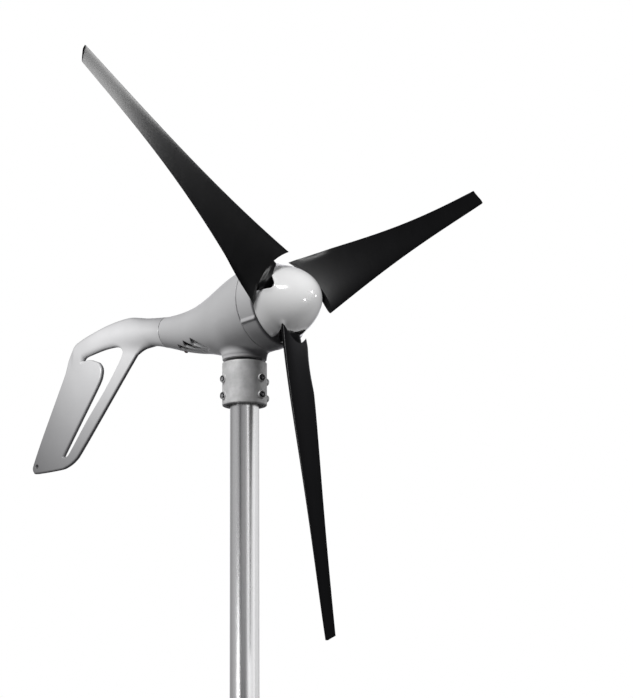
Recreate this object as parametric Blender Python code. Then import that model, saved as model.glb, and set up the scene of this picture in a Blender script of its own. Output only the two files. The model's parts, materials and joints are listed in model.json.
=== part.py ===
"""Small wind turbine on a short length of mast, as separate jointed pieces.

Metres, +Z up. The origin is the centre of the mast's foot, +X points upwind out of the nose,
and the yaw axis is the Z axis. The rotor axis crosses it at HUB_HEIGHT, tilted nose-up by ROTOR_TILT.
"""

import math

import bmesh
import bpy
import numpy as np
from mathutils import Matrix, Vector

# ---- driving dimensions -------------------------------------------------------------------------
HUB_HEIGHT = 0.920
ROTOR_RADIUS = 0.575
ROTOR_TILT = math.radians(5.4)
REST_AZIMUTH = math.radians(-57.35)  # blade 1, clockwise from straight up, seen from upwind
BLADE_COUNT = 3
GAP = 0.0003  # between pieces that touch

MAST_RADIUS = 0.04826 / 2  # 1 1/2 inch schedule 40 pipe
MAST_WALL = 0.00368

# Mast clamp and yaw post, heights measured from the rotor axis crossing
COLLAR_RADIUS = 0.0373
COLLAR_TOP = -0.0818
COLLAR_BOTTOM = -0.1560
MAST_TOP = COLLAR_TOP - 0.0140
CLAMP_WALL = 0.0060
CLAMP_AZIMUTH = math.radians(-56.7)  # middle of the first clamp half
SCREW_SPREAD = math.radians(57.7)  # clamp screw seats either side of that middle
SCREW_SPLAY = math.radians(38.0)  # and the way their axes point
SCREW_ROWS = (-0.1128, -0.1410)
CLAMP_SCREW = (0.0029, 0.0050, 0.0028)  # shank radius, head radius, socket radius
CLAMP_SCREW_HOLE = 0.0034
CLAMP_BOSS_RADIUS = 0.0066
YAW_BEARING = (0.0235, 0.0100, 0.0140)  # outer radius, bore radius, width
YAW_BEARING_MIDDLES = (-0.0705, -0.0520)
YAW_SHAFT_RADIUS = 0.0100
SLIP_SHAFT_RADIUS = 0.0075
SLIP_RING_HEIGHTS = (-0.0340, -0.0240)
SLIP_RING_RADIUS = 0.0130
SLIP_RING_WIDTH = 0.0056
SNAP_RING = (-0.0434, -0.0426, 0.0089, 0.0125)  # lower and upper face, inner and outer radius

# Nacelle body: x, height of the section's centre, radius. The last section is the front ring.
BODY_STATIONS = (
    (-0.1763, -0.0053, 0.0272),
    (-0.1350, -0.0111, 0.0338),
    (-0.1030, -0.0126, 0.0398),
    (-0.0750, -0.0114, 0.0462),
    (-0.0450, -0.0105, 0.0558),
    (-0.0150, -0.0087, 0.0655),
    (0.0150, -0.0012, 0.0708),
    (0.0476, 0.0045, 0.0732),
)
BODY_WALL = 0.0035
NECK_RADIUS = 0.0382
NECK_BOTTOM = -0.0792
BOSS_RADIUS = 0.0270

# Along the rotor axis, from the crossing with the yaw axis
COVER_REAR = 0.0481
COVER_FRONT = 0.0780
COVER_REAR_RADIUS = 0.0730
COVER_FRONT_RADIUS = 0.0710
COVER_STEP = 0.0010
COVER_STEP_ANGLE = math.radians(117.0)  # from straight up, each side
COVER_WALL = 0.0030
COVER_SCREW_CIRCLE = 0.0652
COVER_SCREW = (0.0019, 0.0036)  # shank radius, head radius
COVER_SCREW_HOLE = 0.0023
ROTOR_BEARING = (0.0175, 0.0075, 0.0110)
ROTOR_BEARING_MIDDLES = (0.0180, 0.0712)
SHAFT_RADIUS = 0.0075
STATOR = (0.0340, 0.0580)  # rear and front faces
STATOR_OUTER = 0.0600
STATOR_INNER = 0.0400
SLOT_COUNT = 12
MAGNET_RADIUS = 0.0390
MAGNET_CORE_RADIUS = 0.0325
COIL_ENDS = (0.0435, 0.0545)  # inner and outer radius
HUB_PLATE = (0.0820, 0.0900)
HUB_PLATE_RADIUS = 0.0595
NOSE_REAR = 0.0792
NOSE_CENTRE = 0.0350  # centre of the ellipse that the nose cone follows
NOSE_LENGTH = 0.1236
NOSE_RADIUS = 0.0705
NOSE_WALL = 0.0025
NOSE_FLARE = 0.0042  # how much the rear rim opens out from the ellipse
NOSE_FLARE_START = 0.0990
NOTCH_FRONT = 0.1130

# Blade: radius, chord, twist in degrees, leading edge's sideways and upwind place
BLADE_STATIONS = (
    (0.040, 0.1139, 22.64, 0.0504, 0.1274),
    (0.100, 0.0989, 16.51, 0.0444, 0.1245),
    (0.150, 0.0865, 12.70, 0.0388, 0.1243),
    (0.250, 0.0638, 7.57, 0.0276, 0.1273),
    (0.350, 0.0468, 4.64, 0.0181, 0.1324),
    (0.450, 0.0363, 3.04, 0.0105, 0.1380),
    (0.575, 0.0278, 3.85, 0.0020, 0.1455),
)
BLADE_ROOT_ARC = 0.0740  # the blade's inner edge is an arc about the rotor axis
SHANK = (-0.0260, 0.0180)  # sideways extent of the root shank
SHANK_STATIONS = (  # radius, height of the crown above the hub plate, share of full width
    (0.0240, 0.0100, 1.0),
    (0.0420, 0.0120, 1.0),
    (0.0560, 0.0190, 1.0),
    (0.0740, 0.0200, 0.97),
    (0.0860, 0.0150, 0.55),
)
BLADE_SCREW_RADII = (0.0310, 0.0470)
BLADE_SCREW = (0.0029, 0.0050)  # shank radius, head radius
BLADE_SCREW_HOLE = 0.0033
BLADE_SCREW_WELL = 0.0056

# Tail: outline of fin, boom and strut in the vertical mid-plane (x, height), and its window
TAIL_START = BODY_STATIONS[0][0] - GAP
SPIGOT_RADIUS = 0.0215
BOOM_STATIONS = (
    (TAIL_START, -0.0053, 0.0271, 0.0271),
    (-0.2064, 0.0000, 0.0243, 0.0243),
    (-0.2500, 0.0055, 0.0245, 0.0215),
    (-0.2900, 0.0095, 0.0205, 0.0165),
    (-0.3300, 0.0080, 0.0165, 0.0125),
    (-0.3700, 0.0010, 0.0145, 0.0090),
    (-0.4000, -0.0080, 0.0120, 0.0060),
)
TAIL_PLATE = 0.0090  # thickness
TAIL_OUTLINE = (
    (-0.2300, 0.0120), (-0.2560, 0.0270), (-0.2780, 0.0300), (-0.3230, 0.0245), (-0.3600, 0.0150),
    (-0.3920, 0.0060), (-0.4148, -0.0060), (-0.4250, -0.0200), (-0.4332, -0.0433), (-0.4517, -0.0791),
    (-0.4931, -0.1578), (-0.5129, -0.1992), (-0.5150, -0.2080), (-0.5117, -0.2139), (-0.5039, -0.2168),
    (-0.4464, -0.2161), (-0.4257, -0.2130), (-0.4056, -0.2037), (-0.3873, -0.1861), (-0.3240, -0.1140),
    (-0.2607, -0.0417), (-0.2504, -0.0324), (-0.2353, -0.0230), (-0.2200, -0.0150),
)
TAIL_WINDOW = (
    (-0.3100, -0.0078), (-0.2997, -0.0094), (-0.2930, -0.0130), (-0.2886, -0.0182), (-0.2884, -0.0271),
    (-0.2994, -0.0451), (-0.3328, -0.0873), (-0.3766, -0.1355), (-0.4181, -0.1862), (-0.4274, -0.1935),
    (-0.4335, -0.1940), (-0.4345, -0.1925), (-0.4290, -0.1844), (-0.3885, -0.1295), (-0.3480, -0.0745),
    (-0.3402, -0.0576), (-0.3402, -0.0450), (-0.3474, -0.0352), (-0.3577, -0.0309), (-0.3705, -0.0279),
    (-0.3884, -0.0292), (-0.3910, -0.0285), (-0.3891, -0.0202), (-0.3851, -0.0172), (-0.3759, -0.0145),
    (-0.3380, -0.0093),
)
TAIL_HOLE = (-0.5024, -0.2040, 0.0035)

# Cooling slots in the body's underside: middle of the rear end and of the front end (x, y), one side
COOLING_SLOTS = (
    ((-0.0930, 0.0322), (-0.0560, 0.0262)),
    ((-0.1150, 0.0268), (-0.0640, 0.0178)),
    ((-0.1340, 0.0190), (-0.0840, 0.0090)),
)
SLOT_WIDTHS = (0.0080, 0.0060)  # rear, front

# Circuit board, status lens and brushes, behind the yaw shaft
LENS_PLACE = (-0.1350, 0.0, -0.0469)
LENS_RADIUS = 0.0038
BOARD = (-0.1450, -0.0600, 0.0460, -0.0210, 0.0016)  # rear x, front x, width, height, thickness
BOARD_POSTS = ((-0.1070, -0.0490), (-0.0650, -0.0570))  # x, height of the floor that the post starts in
BOARD_POST_SPREAD = 0.0055
BRUSH_SIDE = 0.0050
HOLDER_HALF_WIDTH = 0.0085
BRUSH_LENGTH = 0.0090
BRUSH_TRAVEL = 0.0030
SPRING_CLOSED = 0.0095  # length of the brush spring with the brush pushed right back
BRUSH_FOOT = -0.0616

CIRCLE = 32  # faces round a full-size circle
MEDIUM_CIRCLE = 20
SMALL_CIRCLE = 10


# ---- materials ----------------------------------------------------------------------------------
def material(name, colour, roughness, metallic=0.0):
    made = bpy.data.materials.new(name)
    made.use_nodes = True
    shader = made.node_tree.nodes["Principled BSDF"]
    shader.inputs["Base Color"].default_value = (*colour, 1.0)
    shader.inputs["Roughness"].default_value = roughness
    shader.inputs["Metallic"].default_value = metallic
    return made


# ---- making solids ------------------------------------------------------------------------------
def add(name, bm, mat=None, parent=None):
    """Turns a bmesh into an object, smooth where its faces nearly line up."""
    bmesh.ops.recalc_face_normals(bm, faces=bm.faces)
    mesh = bpy.data.meshes.new(name)
    bm.to_mesh(mesh)
    bm.free()
    mesh.shade_smooth()
    mesh.set_sharp_from_angle(angle=math.radians(35))
    obj = bpy.data.objects.new(name, mesh)
    bpy.context.scene.collection.objects.link(obj)
    if mat:
        mesh.materials.append(mat)
    if parent:
        obj.parent = parent
    return obj


def frame_empty(name, location=(0, 0, 0), rotation=(0, 0, 0), parent=None):
    empty = bpy.data.objects.new(name, None)
    bpy.context.scene.collection.objects.link(empty)
    empty.location = location
    empty.rotation_euler = rotation
    empty.parent = parent
    return empty


def turned(profile, axis="X", steps=CIRCLE, angle=2 * math.pi, start=0.0):
    """A closed profile of (place along the axis, radius) spun about the axis."""
    bm = bmesh.new()
    verts = [bm.verts.new((along, 0.0, radius)) for along, radius in profile]
    edges = [bm.edges.new((verts[i - 1], verts[i])) for i in range(len(verts))]
    full = angle > 6.28
    geometry = verts + edges
    if not full:
        geometry.append(bm.faces.new(verts))
        bmesh.ops.rotate(bm, verts=verts, cent=(0, 0, 0), matrix=Matrix.Rotation(start, 3, "X"))
    bmesh.ops.spin(
        bm, geom=geometry, cent=(0, 0, 0), axis=(1, 0, 0), angle=angle, steps=steps, use_merge=full
    )
    bmesh.ops.remove_doubles(bm, verts=bm.verts, dist=1e-6)
    bmesh.ops.dissolve_degenerate(bm, edges=bm.edges, dist=1e-7)
    if axis == "Z":
        bmesh.ops.transform(bm, matrix=Matrix.Rotation(math.radians(-90), 4, "Y"), verts=bm.verts)
    return bm


def ring(low, high, inner, outer, axis="X", steps=CIRCLE):
    """A plain ring, or a disc when inner is 0."""
    return turned(((low, inner), (low, outer), (high, outer), (high, inner)), axis, steps)


def block(low, high):
    bm = bmesh.new()
    size = Vector(high) - Vector(low)
    middle = (Vector(high) + Vector(low)) / 2
    bmesh.ops.create_cube(bm, size=1.0, matrix=Matrix.Translation(middle) @ Matrix.Diagonal((*size, 1)))
    return bm


def rod(start, end, radius, steps=SMALL_CIRCLE):
    """A round bar between two points."""
    start, end = Vector(start), Vector(end)
    bm = bmesh.new()
    turn = (end - start).to_track_quat("Z", "Y").to_matrix().to_4x4()
    bmesh.ops.create_cone(
        bm, cap_ends=True, segments=steps, radius1=radius, radius2=radius, depth=(end - start).length,
        matrix=Matrix.Translation((start + end) / 2) @ turn,
    )
    return bm


def loft(sections):
    """Bridges closed sections of equal point counts, capped at both ends."""
    bm = bmesh.new()
    rings = [[bm.verts.new(point) for point in section] for section in sections]
    count = len(rings[0])
    for near, far in zip(rings, rings[1:]):
        for i in range(count):
            bm.faces.new((near[i - 1], near[i], far[i], far[i - 1]))
    bm.faces.new(rings[0])
    bm.faces.new(rings[-1])
    return bm


def smooth_rows(rows, steps):
    """Catmull-Rom curve through rows of numbers, with this many steps between rows."""
    rows = np.array([rows[0], *rows, rows[-1]], float)
    found = []
    for i in range(1, len(rows) - 2):
        before, here, there, after = rows[i - 1 : i + 3]
        for u in np.arange(steps) / steps:
            square = 2 * before - 5 * here + 4 * there - after
            cube = 3 * here - before - 3 * there + after
            found.append(here + 0.5 * ((there - before) * u + square * u**2 + cube * u**3))
    found.append(rows[-2])
    return [row.tolist() for row in found]


# ---- joining and cutting ------------------------------------------------------------------------
def boolean(obj, other, operation):
    other.hide_render = True
    other.display_type = "WIRE"
    modifier = obj.modifiers.new(operation.lower(), "BOOLEAN")
    modifier.operation = operation
    modifier.object = other
    modifier.solver = "EXACT"


def cut(obj, bm, parent=None):
    count = len(obj.modifiers)
    boolean(obj, add(f"{obj.name}_cut_{count}", bm, None, parent), "DIFFERENCE")


def join(obj, bm, parent=None):
    count = len(obj.modifiers)
    boolean(obj, add(f"{obj.name}_join_{count}", bm, None, parent), "UNION")


# ---- mast and clamp -----------------------------------------------------------------------------
def polar(radius, angle, height=0.0):
    return Vector((radius * math.cos(angle), radius * math.sin(angle), height))


def mast(mats, hub):
    tube = ring(-HUB_HEIGHT, MAST_TOP, MAST_RADIUS - MAST_WALL, MAST_RADIUS, "Z")
    add("mast_tube", tube, mats["mast"], hub)


def sector(low, high, inner, outer, middle, half, steps=16):
    """Part of an upright ring, from middle - half to middle + half, as an azimuth about Z."""
    corners = ((inner, low), (outer, low), (outer, high), (inner, high))
    angles = [middle - half + 2 * half * i / steps for i in range(steps + 1)]
    return loft([[polar(radius, angle, z) for radius, z in corners] for angle in angles])


def clamp_screw_axes(side):
    """Seat point and outward direction of the four screws of one clamp half."""
    middle = CLAMP_AZIMUTH + side * math.pi
    axes = []
    for sign in (-1, 1):
        out = polar(1.0, middle + sign * SCREW_SPLAY)
        axes += [(polar(COLLAR_RADIUS, middle + sign * SCREW_SPREAD, row), out) for row in SCREW_ROWS]
    return axes


def clamp(mats, hub):
    number = 1
    shank_radius, head_radius, socket_radius = CLAMP_SCREW
    for side, name in enumerate(("clamp_front", "clamp_rear")):
        middle = CLAMP_AZIMUTH + side * math.pi
        inner = COLLAR_RADIUS - CLAMP_WALL
        shell = sector(COLLAR_BOTTOM, COLLAR_TOP, inner, COLLAR_RADIUS, middle, math.radians(88.8))
        half = add(name, shell, mats["collar"], hub)
        pad = (MAST_RADIUS + GAP, inner + 0.002, middle, math.radians(36), 8)
        join(half, sector(COLLAR_BOTTOM, MAST_TOP - 0.002, *pad), hub)
        for seat, out in clamp_screw_axes(side):
            join(half, rod(seat - out * 0.0035, seat + out * 0.0020, CLAMP_BOSS_RADIUS), hub)
        for seat, out in clamp_screw_axes(side):
            cut(half, rod(seat - out * 0.0140, seat + out * 0.0140, CLAMP_SCREW_HOLE, 8), hub)
            shank = rod(seat - out * 0.0120, seat + out * 0.0026, shank_radius, 8)
            screw = add(f"clamp_screw_{number}", shank, mats["screw"], hub)
            join(screw, rod(seat + out * 0.0023, seat + out * 0.0070, head_radius), hub)
            cut(screw, rod(seat + out * 0.0040, seat + out * 0.0090, socket_radius, 6), hub)
            number += 1


def yaw_post(mats, hub):
    """Fixed casting: cap plate, webs between the clamp halves, and the shaft the nacelle turns on."""
    plate = (COLLAR_TOP - 0.0125, COLLAR_TOP + 0.0012)
    web = COLLAR_RADIUS - CLAMP_WALL - GAP
    shoulder = YAW_BEARING_MIDDLES[0] - YAW_BEARING[2] / 2 - GAP
    shaft, shaft_end = YAW_SHAFT_RADIUS - GAP, -0.0410
    shaft_top = SLIP_RING_HEIGHTS[1] + 0.0090
    profile = (
        (plate[0], 0.0), (plate[0], web), (plate[1], web), (plate[1], 0.0140), (shoulder, 0.0140),
        (shoulder, shaft), (shaft_end, shaft), (shaft_end, SLIP_SHAFT_RADIUS),
        (shaft_top, SLIP_SHAFT_RADIUS), (shaft_top, 0.0),
    )
    post = add("yaw_post", turned(profile, "Z", MEDIUM_CIRCLE), mats["cast"], hub)
    for side in (0, 1):
        middle = CLAMP_AZIMUTH + math.pi / 2 + side * math.pi
        span = (COLLAR_BOTTOM + 0.003, plate[0] + 0.002, MAST_RADIUS + GAP, web)
        join(post, sector(*span, middle, math.radians(46), 8), hub)
    cut(post, rod((0, 0, -0.12), (0, 0, 0.02), 0.0040), hub)
    low, high, inner, _ = SNAP_RING
    cut(post, ring(low - 0.0002, high + 0.0002, inner - GAP, 0.0120, "Z", 24), hub)
    for side in (0, 1):
        for seat, out in clamp_screw_axes(side):
            cut(post, rod(seat - out * 0.0140, seat + out * 0.0100, CLAMP_SCREW_HOLE, 8), hub)


def bearing(name, middle, sizes, axis, mats, frame, steps):
    """Two races with a running gap between them."""
    outer, bore, width = sizes
    low, high = middle - width / 2, middle + width / 2
    pitch = (outer + bore) / 2
    add(name + "_outer_race", ring(low, high, pitch + 0.0008, outer, axis, steps), mats["steel"], frame)
    add(name + "_inner_race", ring(low, high, bore, pitch - 0.0008, axis, steps), mats["steel"], frame)


def yaw_parts(mats, hub):
    for name, middle in zip(("yaw_bearing_lower", "yaw_bearing_upper"), YAW_BEARING_MIDDLES):
        bearing(name, middle, YAW_BEARING, "Z", mats, hub, MEDIUM_CIRCLE)
    add("yaw_snap_ring", sector(*SNAP_RING, 0.0, math.radians(160), 12), mats["steel"], hub)
    low, high = -0.0407, SLIP_RING_HEIGHTS[1] + 0.0070
    sleeve_outer = SLIP_RING_RADIUS - 0.0025
    sleeve = ring(low, high, SLIP_SHAFT_RADIUS + GAP, sleeve_outer, "Z", MEDIUM_CIRCLE)
    add("slip_ring_sleeve", sleeve, mats["insulator"], hub)
    for number, height in enumerate(SLIP_RING_HEIGHTS, 1):
        low, high = height - SLIP_RING_WIDTH / 2, height + SLIP_RING_WIDTH / 2
        slip_ring = ring(low, high, sleeve_outer + GAP, SLIP_RING_RADIUS, "Z", MEDIUM_CIRCLE)
        add(f"slip_ring_{number}", slip_ring, mats["brass"], hub)


def brushes(mats, hub):
    """Two carbon brushes that slide towards the yaw axis in one holder, each with its spring."""
    tip = -(SLIP_RING_RADIUS + GAP)
    side = BRUSH_SIDE / 2
    back = tip - BRUSH_LENGTH
    end = back - BRUSH_TRAVEL - SPRING_CLOSED
    low, high = SLIP_RING_HEIGHTS[0] - 0.0055, SLIP_RING_HEIGHTS[1] + 0.0055
    rear, wide = end - 0.0030, HOLDER_HALF_WIDTH
    housing = block((rear, -wide, low), (tip - 0.0022, wide, high))
    holder = add("brush_holder", housing, mats["insulator"], hub)
    join(holder, block((rear, -wide, BRUSH_FOOT), (rear + 0.0070, wide, low + 0.0010)), hub)
    for name, height in zip(("positive", "negative"), SLIP_RING_HEIGHTS):
        bore = side + GAP
        cut(holder, block((end, -bore, height - bore), (tip + 0.002, bore, height + bore)), hub)
        brush = block((back, -side, height - side), (tip, side, height + side))
        add(f"brush_{name}", brush, mats["carbon"], hub)
        spring(f"brush_spring_{name}", end + GAP, back - GAP, height, mats["steel"], hub)


def spring(name, start, end, height, mat, parent, turns=4, wire=0.0003, radius=0.0017):
    """A compression spring along X, as a helix tube."""
    curve = bpy.data.curves.new(name, "CURVE")
    curve.dimensions = "3D"
    curve.bevel_depth = wire
    curve.bevel_resolution = 0
    curve.use_fill_caps = True
    count = turns * 8 + 1
    line = curve.splines.new("POLY")
    line.points.add(count - 1)
    for i, point in enumerate(line.points):
        u = i / (count - 1)
        turn = 2 * math.pi * turns * u
        along = start + wire + (end - start - 2 * wire) * u
        point.co = (along, radius * math.cos(turn), height + radius * math.sin(turn), 1.0)
    curve.materials.append(mat)
    made = bpy.data.objects.new(name, curve)
    bpy.context.scene.collection.objects.link(made)
    made.parent = parent


# ---- nacelle ------------------------------------------------------------------------------------
def body_sections(stations, grow=0.0, count=CIRCLE, steps=2):
    """Round sections along the body, leaning over to the rotor's tilt towards the front."""
    sections = []
    for x, height, radius in smooth_rows(stations, steps):
        u = min(max((x + 0.12) / 0.12, 0.0), 1.0)
        lean = ROTOR_TILT * u * u * (3 - 2 * u)
        up = Vector((-math.sin(lean), 0, math.cos(lean)))
        side = Vector((0, 1, 0))
        section = []
        for i in range(count):
            angle = 2 * math.pi * i / count
            out = up * math.cos(angle) + side * math.sin(angle)
            section.append(Vector((x, 0, height)) + (radius + grow) * out)
        sections.append(section)
    return sections


def cooling_slots(body, hub):
    """Three slots each side of the body's underside, slanting inwards towards the front."""
    low, high = -0.0700, BOARD[3] - 0.0005
    rear, front = (width / 2 for width in SLOT_WIDTHS)
    for side in (-1, 1):
        for (x1, y1), (x2, y2) in COOLING_SLOTS:
            plan = ((x1, y1 - rear), (x2, y2 - front), (x2, y2 + front), (x1, y1 + rear))
            cut(body, loft([[Vector((x, side * y, z)) for x, y in plan] for z in (low, high)]), hub)


def nacelle_body(mats, hub, tilt):
    body = add("nacelle_body", loft(body_sections(BODY_STATIONS)), mats["paint"], hub)
    join(body, ring(NECK_BOTTOM, -0.0450, 0.0, NECK_RADIUS, "Z"), hub)
    first, last = BODY_STATIONS[0], BODY_STATIONS[-1]
    rear_end = (first[0] - 0.010, *first[1:])
    front_end = (last[0] + 0.012, last[1] + 0.0011, last[2])
    cut(body, loft(body_sections((rear_end, *BODY_STATIONS, front_end), -BODY_WALL, 24, 1)), hub)
    join(body, ring(NECK_BOTTOM, -0.0450, 0.0, BOSS_RADIUS, "Z"), hub)
    join(body, ring(0.0140, 0.0220, 0.0, 0.0690), tilt)
    join(body, ring(0.0120, 0.0220, 0.0, ROTOR_BEARING[0] + 0.0045, "X", 32), tilt)
    join(body, ring(0.0360, 0.0460, STATOR_OUTER + GAP, 0.0712), tilt)
    cut(body, ring(0.0125, 0.0300, 0.0, ROTOR_BEARING[0] + GAP, "X", 32), tilt)
    cut(body, ring(0.0000, 0.0300, 0.0, SHAFT_RADIUS + 0.0015, "X", 24), tilt)
    cut(body, ring(NECK_BOTTOM - 0.01, -0.0420, 0.0, YAW_BEARING[0] + GAP, "Z", 32), hub)
    for angle in cover_screw_angles():
        place = on_circle(COVER_SCREW_CIRCLE, angle)
        cut(body, rod((0.0370, *place), (0.0600, *place), COVER_SCREW_HOLE), tilt)
    cooling_slots(body, hub)
    x, y, bottom = LENS_PLACE
    cut(body, rod((x, y, bottom - 0.0100), (x, y, bottom + 0.0110), LENS_RADIUS + GAP), hub)
    return body


def on_circle(radius, angle):
    """The y and z of a point at an angle from straight up, in the plane across the rotor axis."""
    return (radius * math.sin(angle), radius * math.cos(angle))


def cover_screw_angles():
    return [math.radians(60 + 120 * i) for i in range(3)]


def front_cover(mats, tilt):
    wall = COVER_WALL
    rear, front = COVER_REAR, COVER_FRONT
    bore, hub_radius, hub_end = ROTOR_BEARING[0] + GAP, ROTOR_BEARING[0] + 0.0035, 0.0655
    profile = (
        (rear, COVER_REAR_RADIUS - wall), (rear, COVER_REAR_RADIUS),
        (front - 0.0015, COVER_FRONT_RADIUS), (front, COVER_FRONT_RADIUS - 0.0015),
        (front, SHAFT_RADIUS + 0.0012), (front - 0.0010, SHAFT_RADIUS + 0.0012),
        (front - 0.0010, bore), (hub_end, bore), (hub_end, hub_radius),
        (front - wall, hub_radius), (front - wall, COVER_FRONT_RADIUS - wall),
    )
    cover = add("front_cover", turned(profile), mats["paint"], tilt)
    step = (
        (rear, COVER_REAR_RADIUS - 0.001), (rear, COVER_REAR_RADIUS + COVER_STEP),
        (front - 0.0030, COVER_FRONT_RADIUS + COVER_STEP), (front - 0.0015, COVER_FRONT_RADIUS - 0.001),
    )
    span = 2 * (math.pi - COVER_STEP_ANGLE)
    join(cover, turned(step, steps=10, angle=span, start=-COVER_STEP_ANGLE), tilt)
    for angle in cover_screw_angles():
        place = on_circle(COVER_SCREW_CIRCLE, angle)
        join(cover, rod((rear + 0.0002, *place), (front - 0.002, *place), 0.0048, 12), tilt)
    shank_radius, head_radius = COVER_SCREW
    for number, angle in enumerate(cover_screw_angles(), 1):
        place = on_circle(COVER_SCREW_CIRCLE, angle)
        cut(cover, rod((rear - 0.01, *place), (front + 0.01, *place), COVER_SCREW_HOLE), tilt)
        cut(cover, rod((front - 0.0050, *place), (front + 0.01, *place), head_radius + 0.0004), tilt)
        shank = rod((0.0385, *place), (front - 0.0040, *place), shank_radius)
        screw = add(f"cover_screw_{number}", shank, mats["screw"], tilt)
        join(screw, rod((front - 0.0046, *place), (front - 0.0010, *place), head_radius, 12), tilt)


def alternator(mats, tilt):
    rear, front = STATOR
    stack = ring(rear, front, STATOR_INNER, STATOR_OUTER, "X", 24)
    core = add("stator_core", stack, mats["laminations"], tilt)
    front_coil = ring(front + GAP, front + 0.0058, *COIL_ENDS, "X", 24)
    winding = add("stator_winding", front_coil, mats["copper"], tilt)
    join(winding, ring(rear - 0.0048, rear - GAP, *COIL_ENDS, "X", 24), tilt)
    for i in range(SLOT_COUNT):
        turn = Matrix.Rotation(2 * math.pi * i / SLOT_COUNT, 4, "X")
        slot = block((rear - 0.002, -0.0028, 0.0440), (front + 0.002, 0.0028, 0.0540))
        bar = block((rear - 0.002, -0.0024, 0.0444), (front + 0.002, 0.0024, 0.0536))
        for shape in (slot, bar):
            bmesh.ops.transform(shape, matrix=turn, verts=shape.verts)
        cut(core, slot, tilt)
        join(winding, bar, tilt)


def electronics(mats, hub):
    rear, front, width, height, thick = BOARD
    board = block((rear, -width / 2, height), (front, width / 2, height + thick))
    add("circuit_board", board, mats["board"], hub)
    top = height + thick + GAP
    capacitor = add("capacitor", ring(top, top + 0.020, 0.0, 0.0080, "Z", 24), mats["foil"], hub)
    capacitor.location = (-0.0920, 0.0, 0.0)
    regulator = block((-0.0790, -0.0120, top), (-0.0650, 0.0120, top + 0.0100))
    add("regulator_block", regulator, mats["insulator"], hub)
    lens = ((0.0, 0.0), (0.0005, 0.0025), (0.0030, LENS_RADIUS), (0.0110, LENS_RADIUS), (0.0110, 0.0))
    add("status_lens", turned(lens, "Z", 16), mats["lens"], hub).location = LENS_PLACE


def board_posts(body, hub):
    """Posts cast in the body's floor that the circuit board lies on."""
    for x, floor in BOARD_POSTS:
        for y in (-BOARD_POST_SPREAD, BOARD_POST_SPREAD):
            join(body, rod((x, y, floor), (x, y, BOARD[3] - GAP), 0.0030, 8), hub)


# ---- tail ---------------------------------------------------------------------------------------
def flat_outline(points, thickness):
    """An outline in the vertical mid-plane, given thickness each side of it."""
    return loft([[Vector((x, side * thickness / 2, z)) for x, z in points] for side in (-1, 1)])


def tail(mats, hub):
    sections = []
    for x, height, tall, wide in smooth_rows(BOOM_STATIONS, 2):
        turns = [2 * math.pi * i / MEDIUM_CIRCLE for i in range(MEDIUM_CIRCLE)]
        sections.append([Vector((x, wide * math.sin(t), height + tall * math.cos(t))) for t in turns])
    casting = add("tail_casting", loft(sections), mats["paint"], hub)
    plate = add("tail_plate", flat_outline(TAIL_OUTLINE, TAIL_PLATE), None, hub)
    boolean(casting, plate, "UNION")
    middle = BODY_STATIONS[0][1]
    spigot = ((TAIL_START + 0.0098, 0, middle), (TAIL_START - 0.0040, 0, middle))
    join(casting, rod(*spigot, SPIGOT_RADIUS, CIRCLE), hub)
    cut(casting, flat_outline(TAIL_WINDOW, 0.08), hub)
    x, height, radius = TAIL_HOLE
    cut(casting, rod((x, -0.02, height), (x, 0.02, height), radius, 16), hub)


# ---- rotor --------------------------------------------------------------------------------------
def nose_radius(along, inset=0.0):
    u = (along - NOSE_CENTRE) / (NOSE_LENGTH - inset)
    behind = max(NOSE_FLARE_START - along, 0.0) / (NOSE_FLARE_START - NOSE_REAR)
    return (NOSE_RADIUS - inset) * math.sqrt(max(1 - u * u, 0.0)) + NOSE_FLARE * behind**2


def nose_profile(inset, start, steps):
    tip = NOSE_CENTRE + NOSE_LENGTH - inset
    first = math.acos((start - NOSE_CENTRE) / (NOSE_LENGTH - inset))
    rows = []
    for i in range(steps + 1):
        angle = first * (1 - i / steps)
        along = NOSE_CENTRE + (NOSE_LENGTH - inset) * math.cos(angle)
        rows.append((along, nose_radius(along, inset) if i < steps else 0.0))
    rows[-1] = (tip, 0.0)
    return rows


def nose_cone(mats, spin):
    outer = nose_profile(0.0, NOSE_REAR, 10)
    inner = nose_profile(NOSE_WALL, NOSE_REAR + 0.0020, 7)
    lip = HUB_PLATE_RADIUS - 0.0020
    profile = [(NOSE_REAR, lip), *outer, *reversed(inner), (NOSE_REAR + 0.0020, lip)]
    cone = add("nose_cone", turned(profile), mats["nose"], spin)
    for i in range(BLADE_COUNT):
        low, high = SHANK[0] - 0.0020, SHANK[1] + 0.0020
        notch = block((NOSE_REAR - 0.01, low, 0.030), (NOTCH_FRONT, high, 0.090))
        turn = Matrix.Rotation(-2 * math.pi * i / BLADE_COUNT, 4, "X")
        bmesh.ops.transform(notch, matrix=turn, verts=notch.verts)
        cut(cone, notch, spin)


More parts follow.
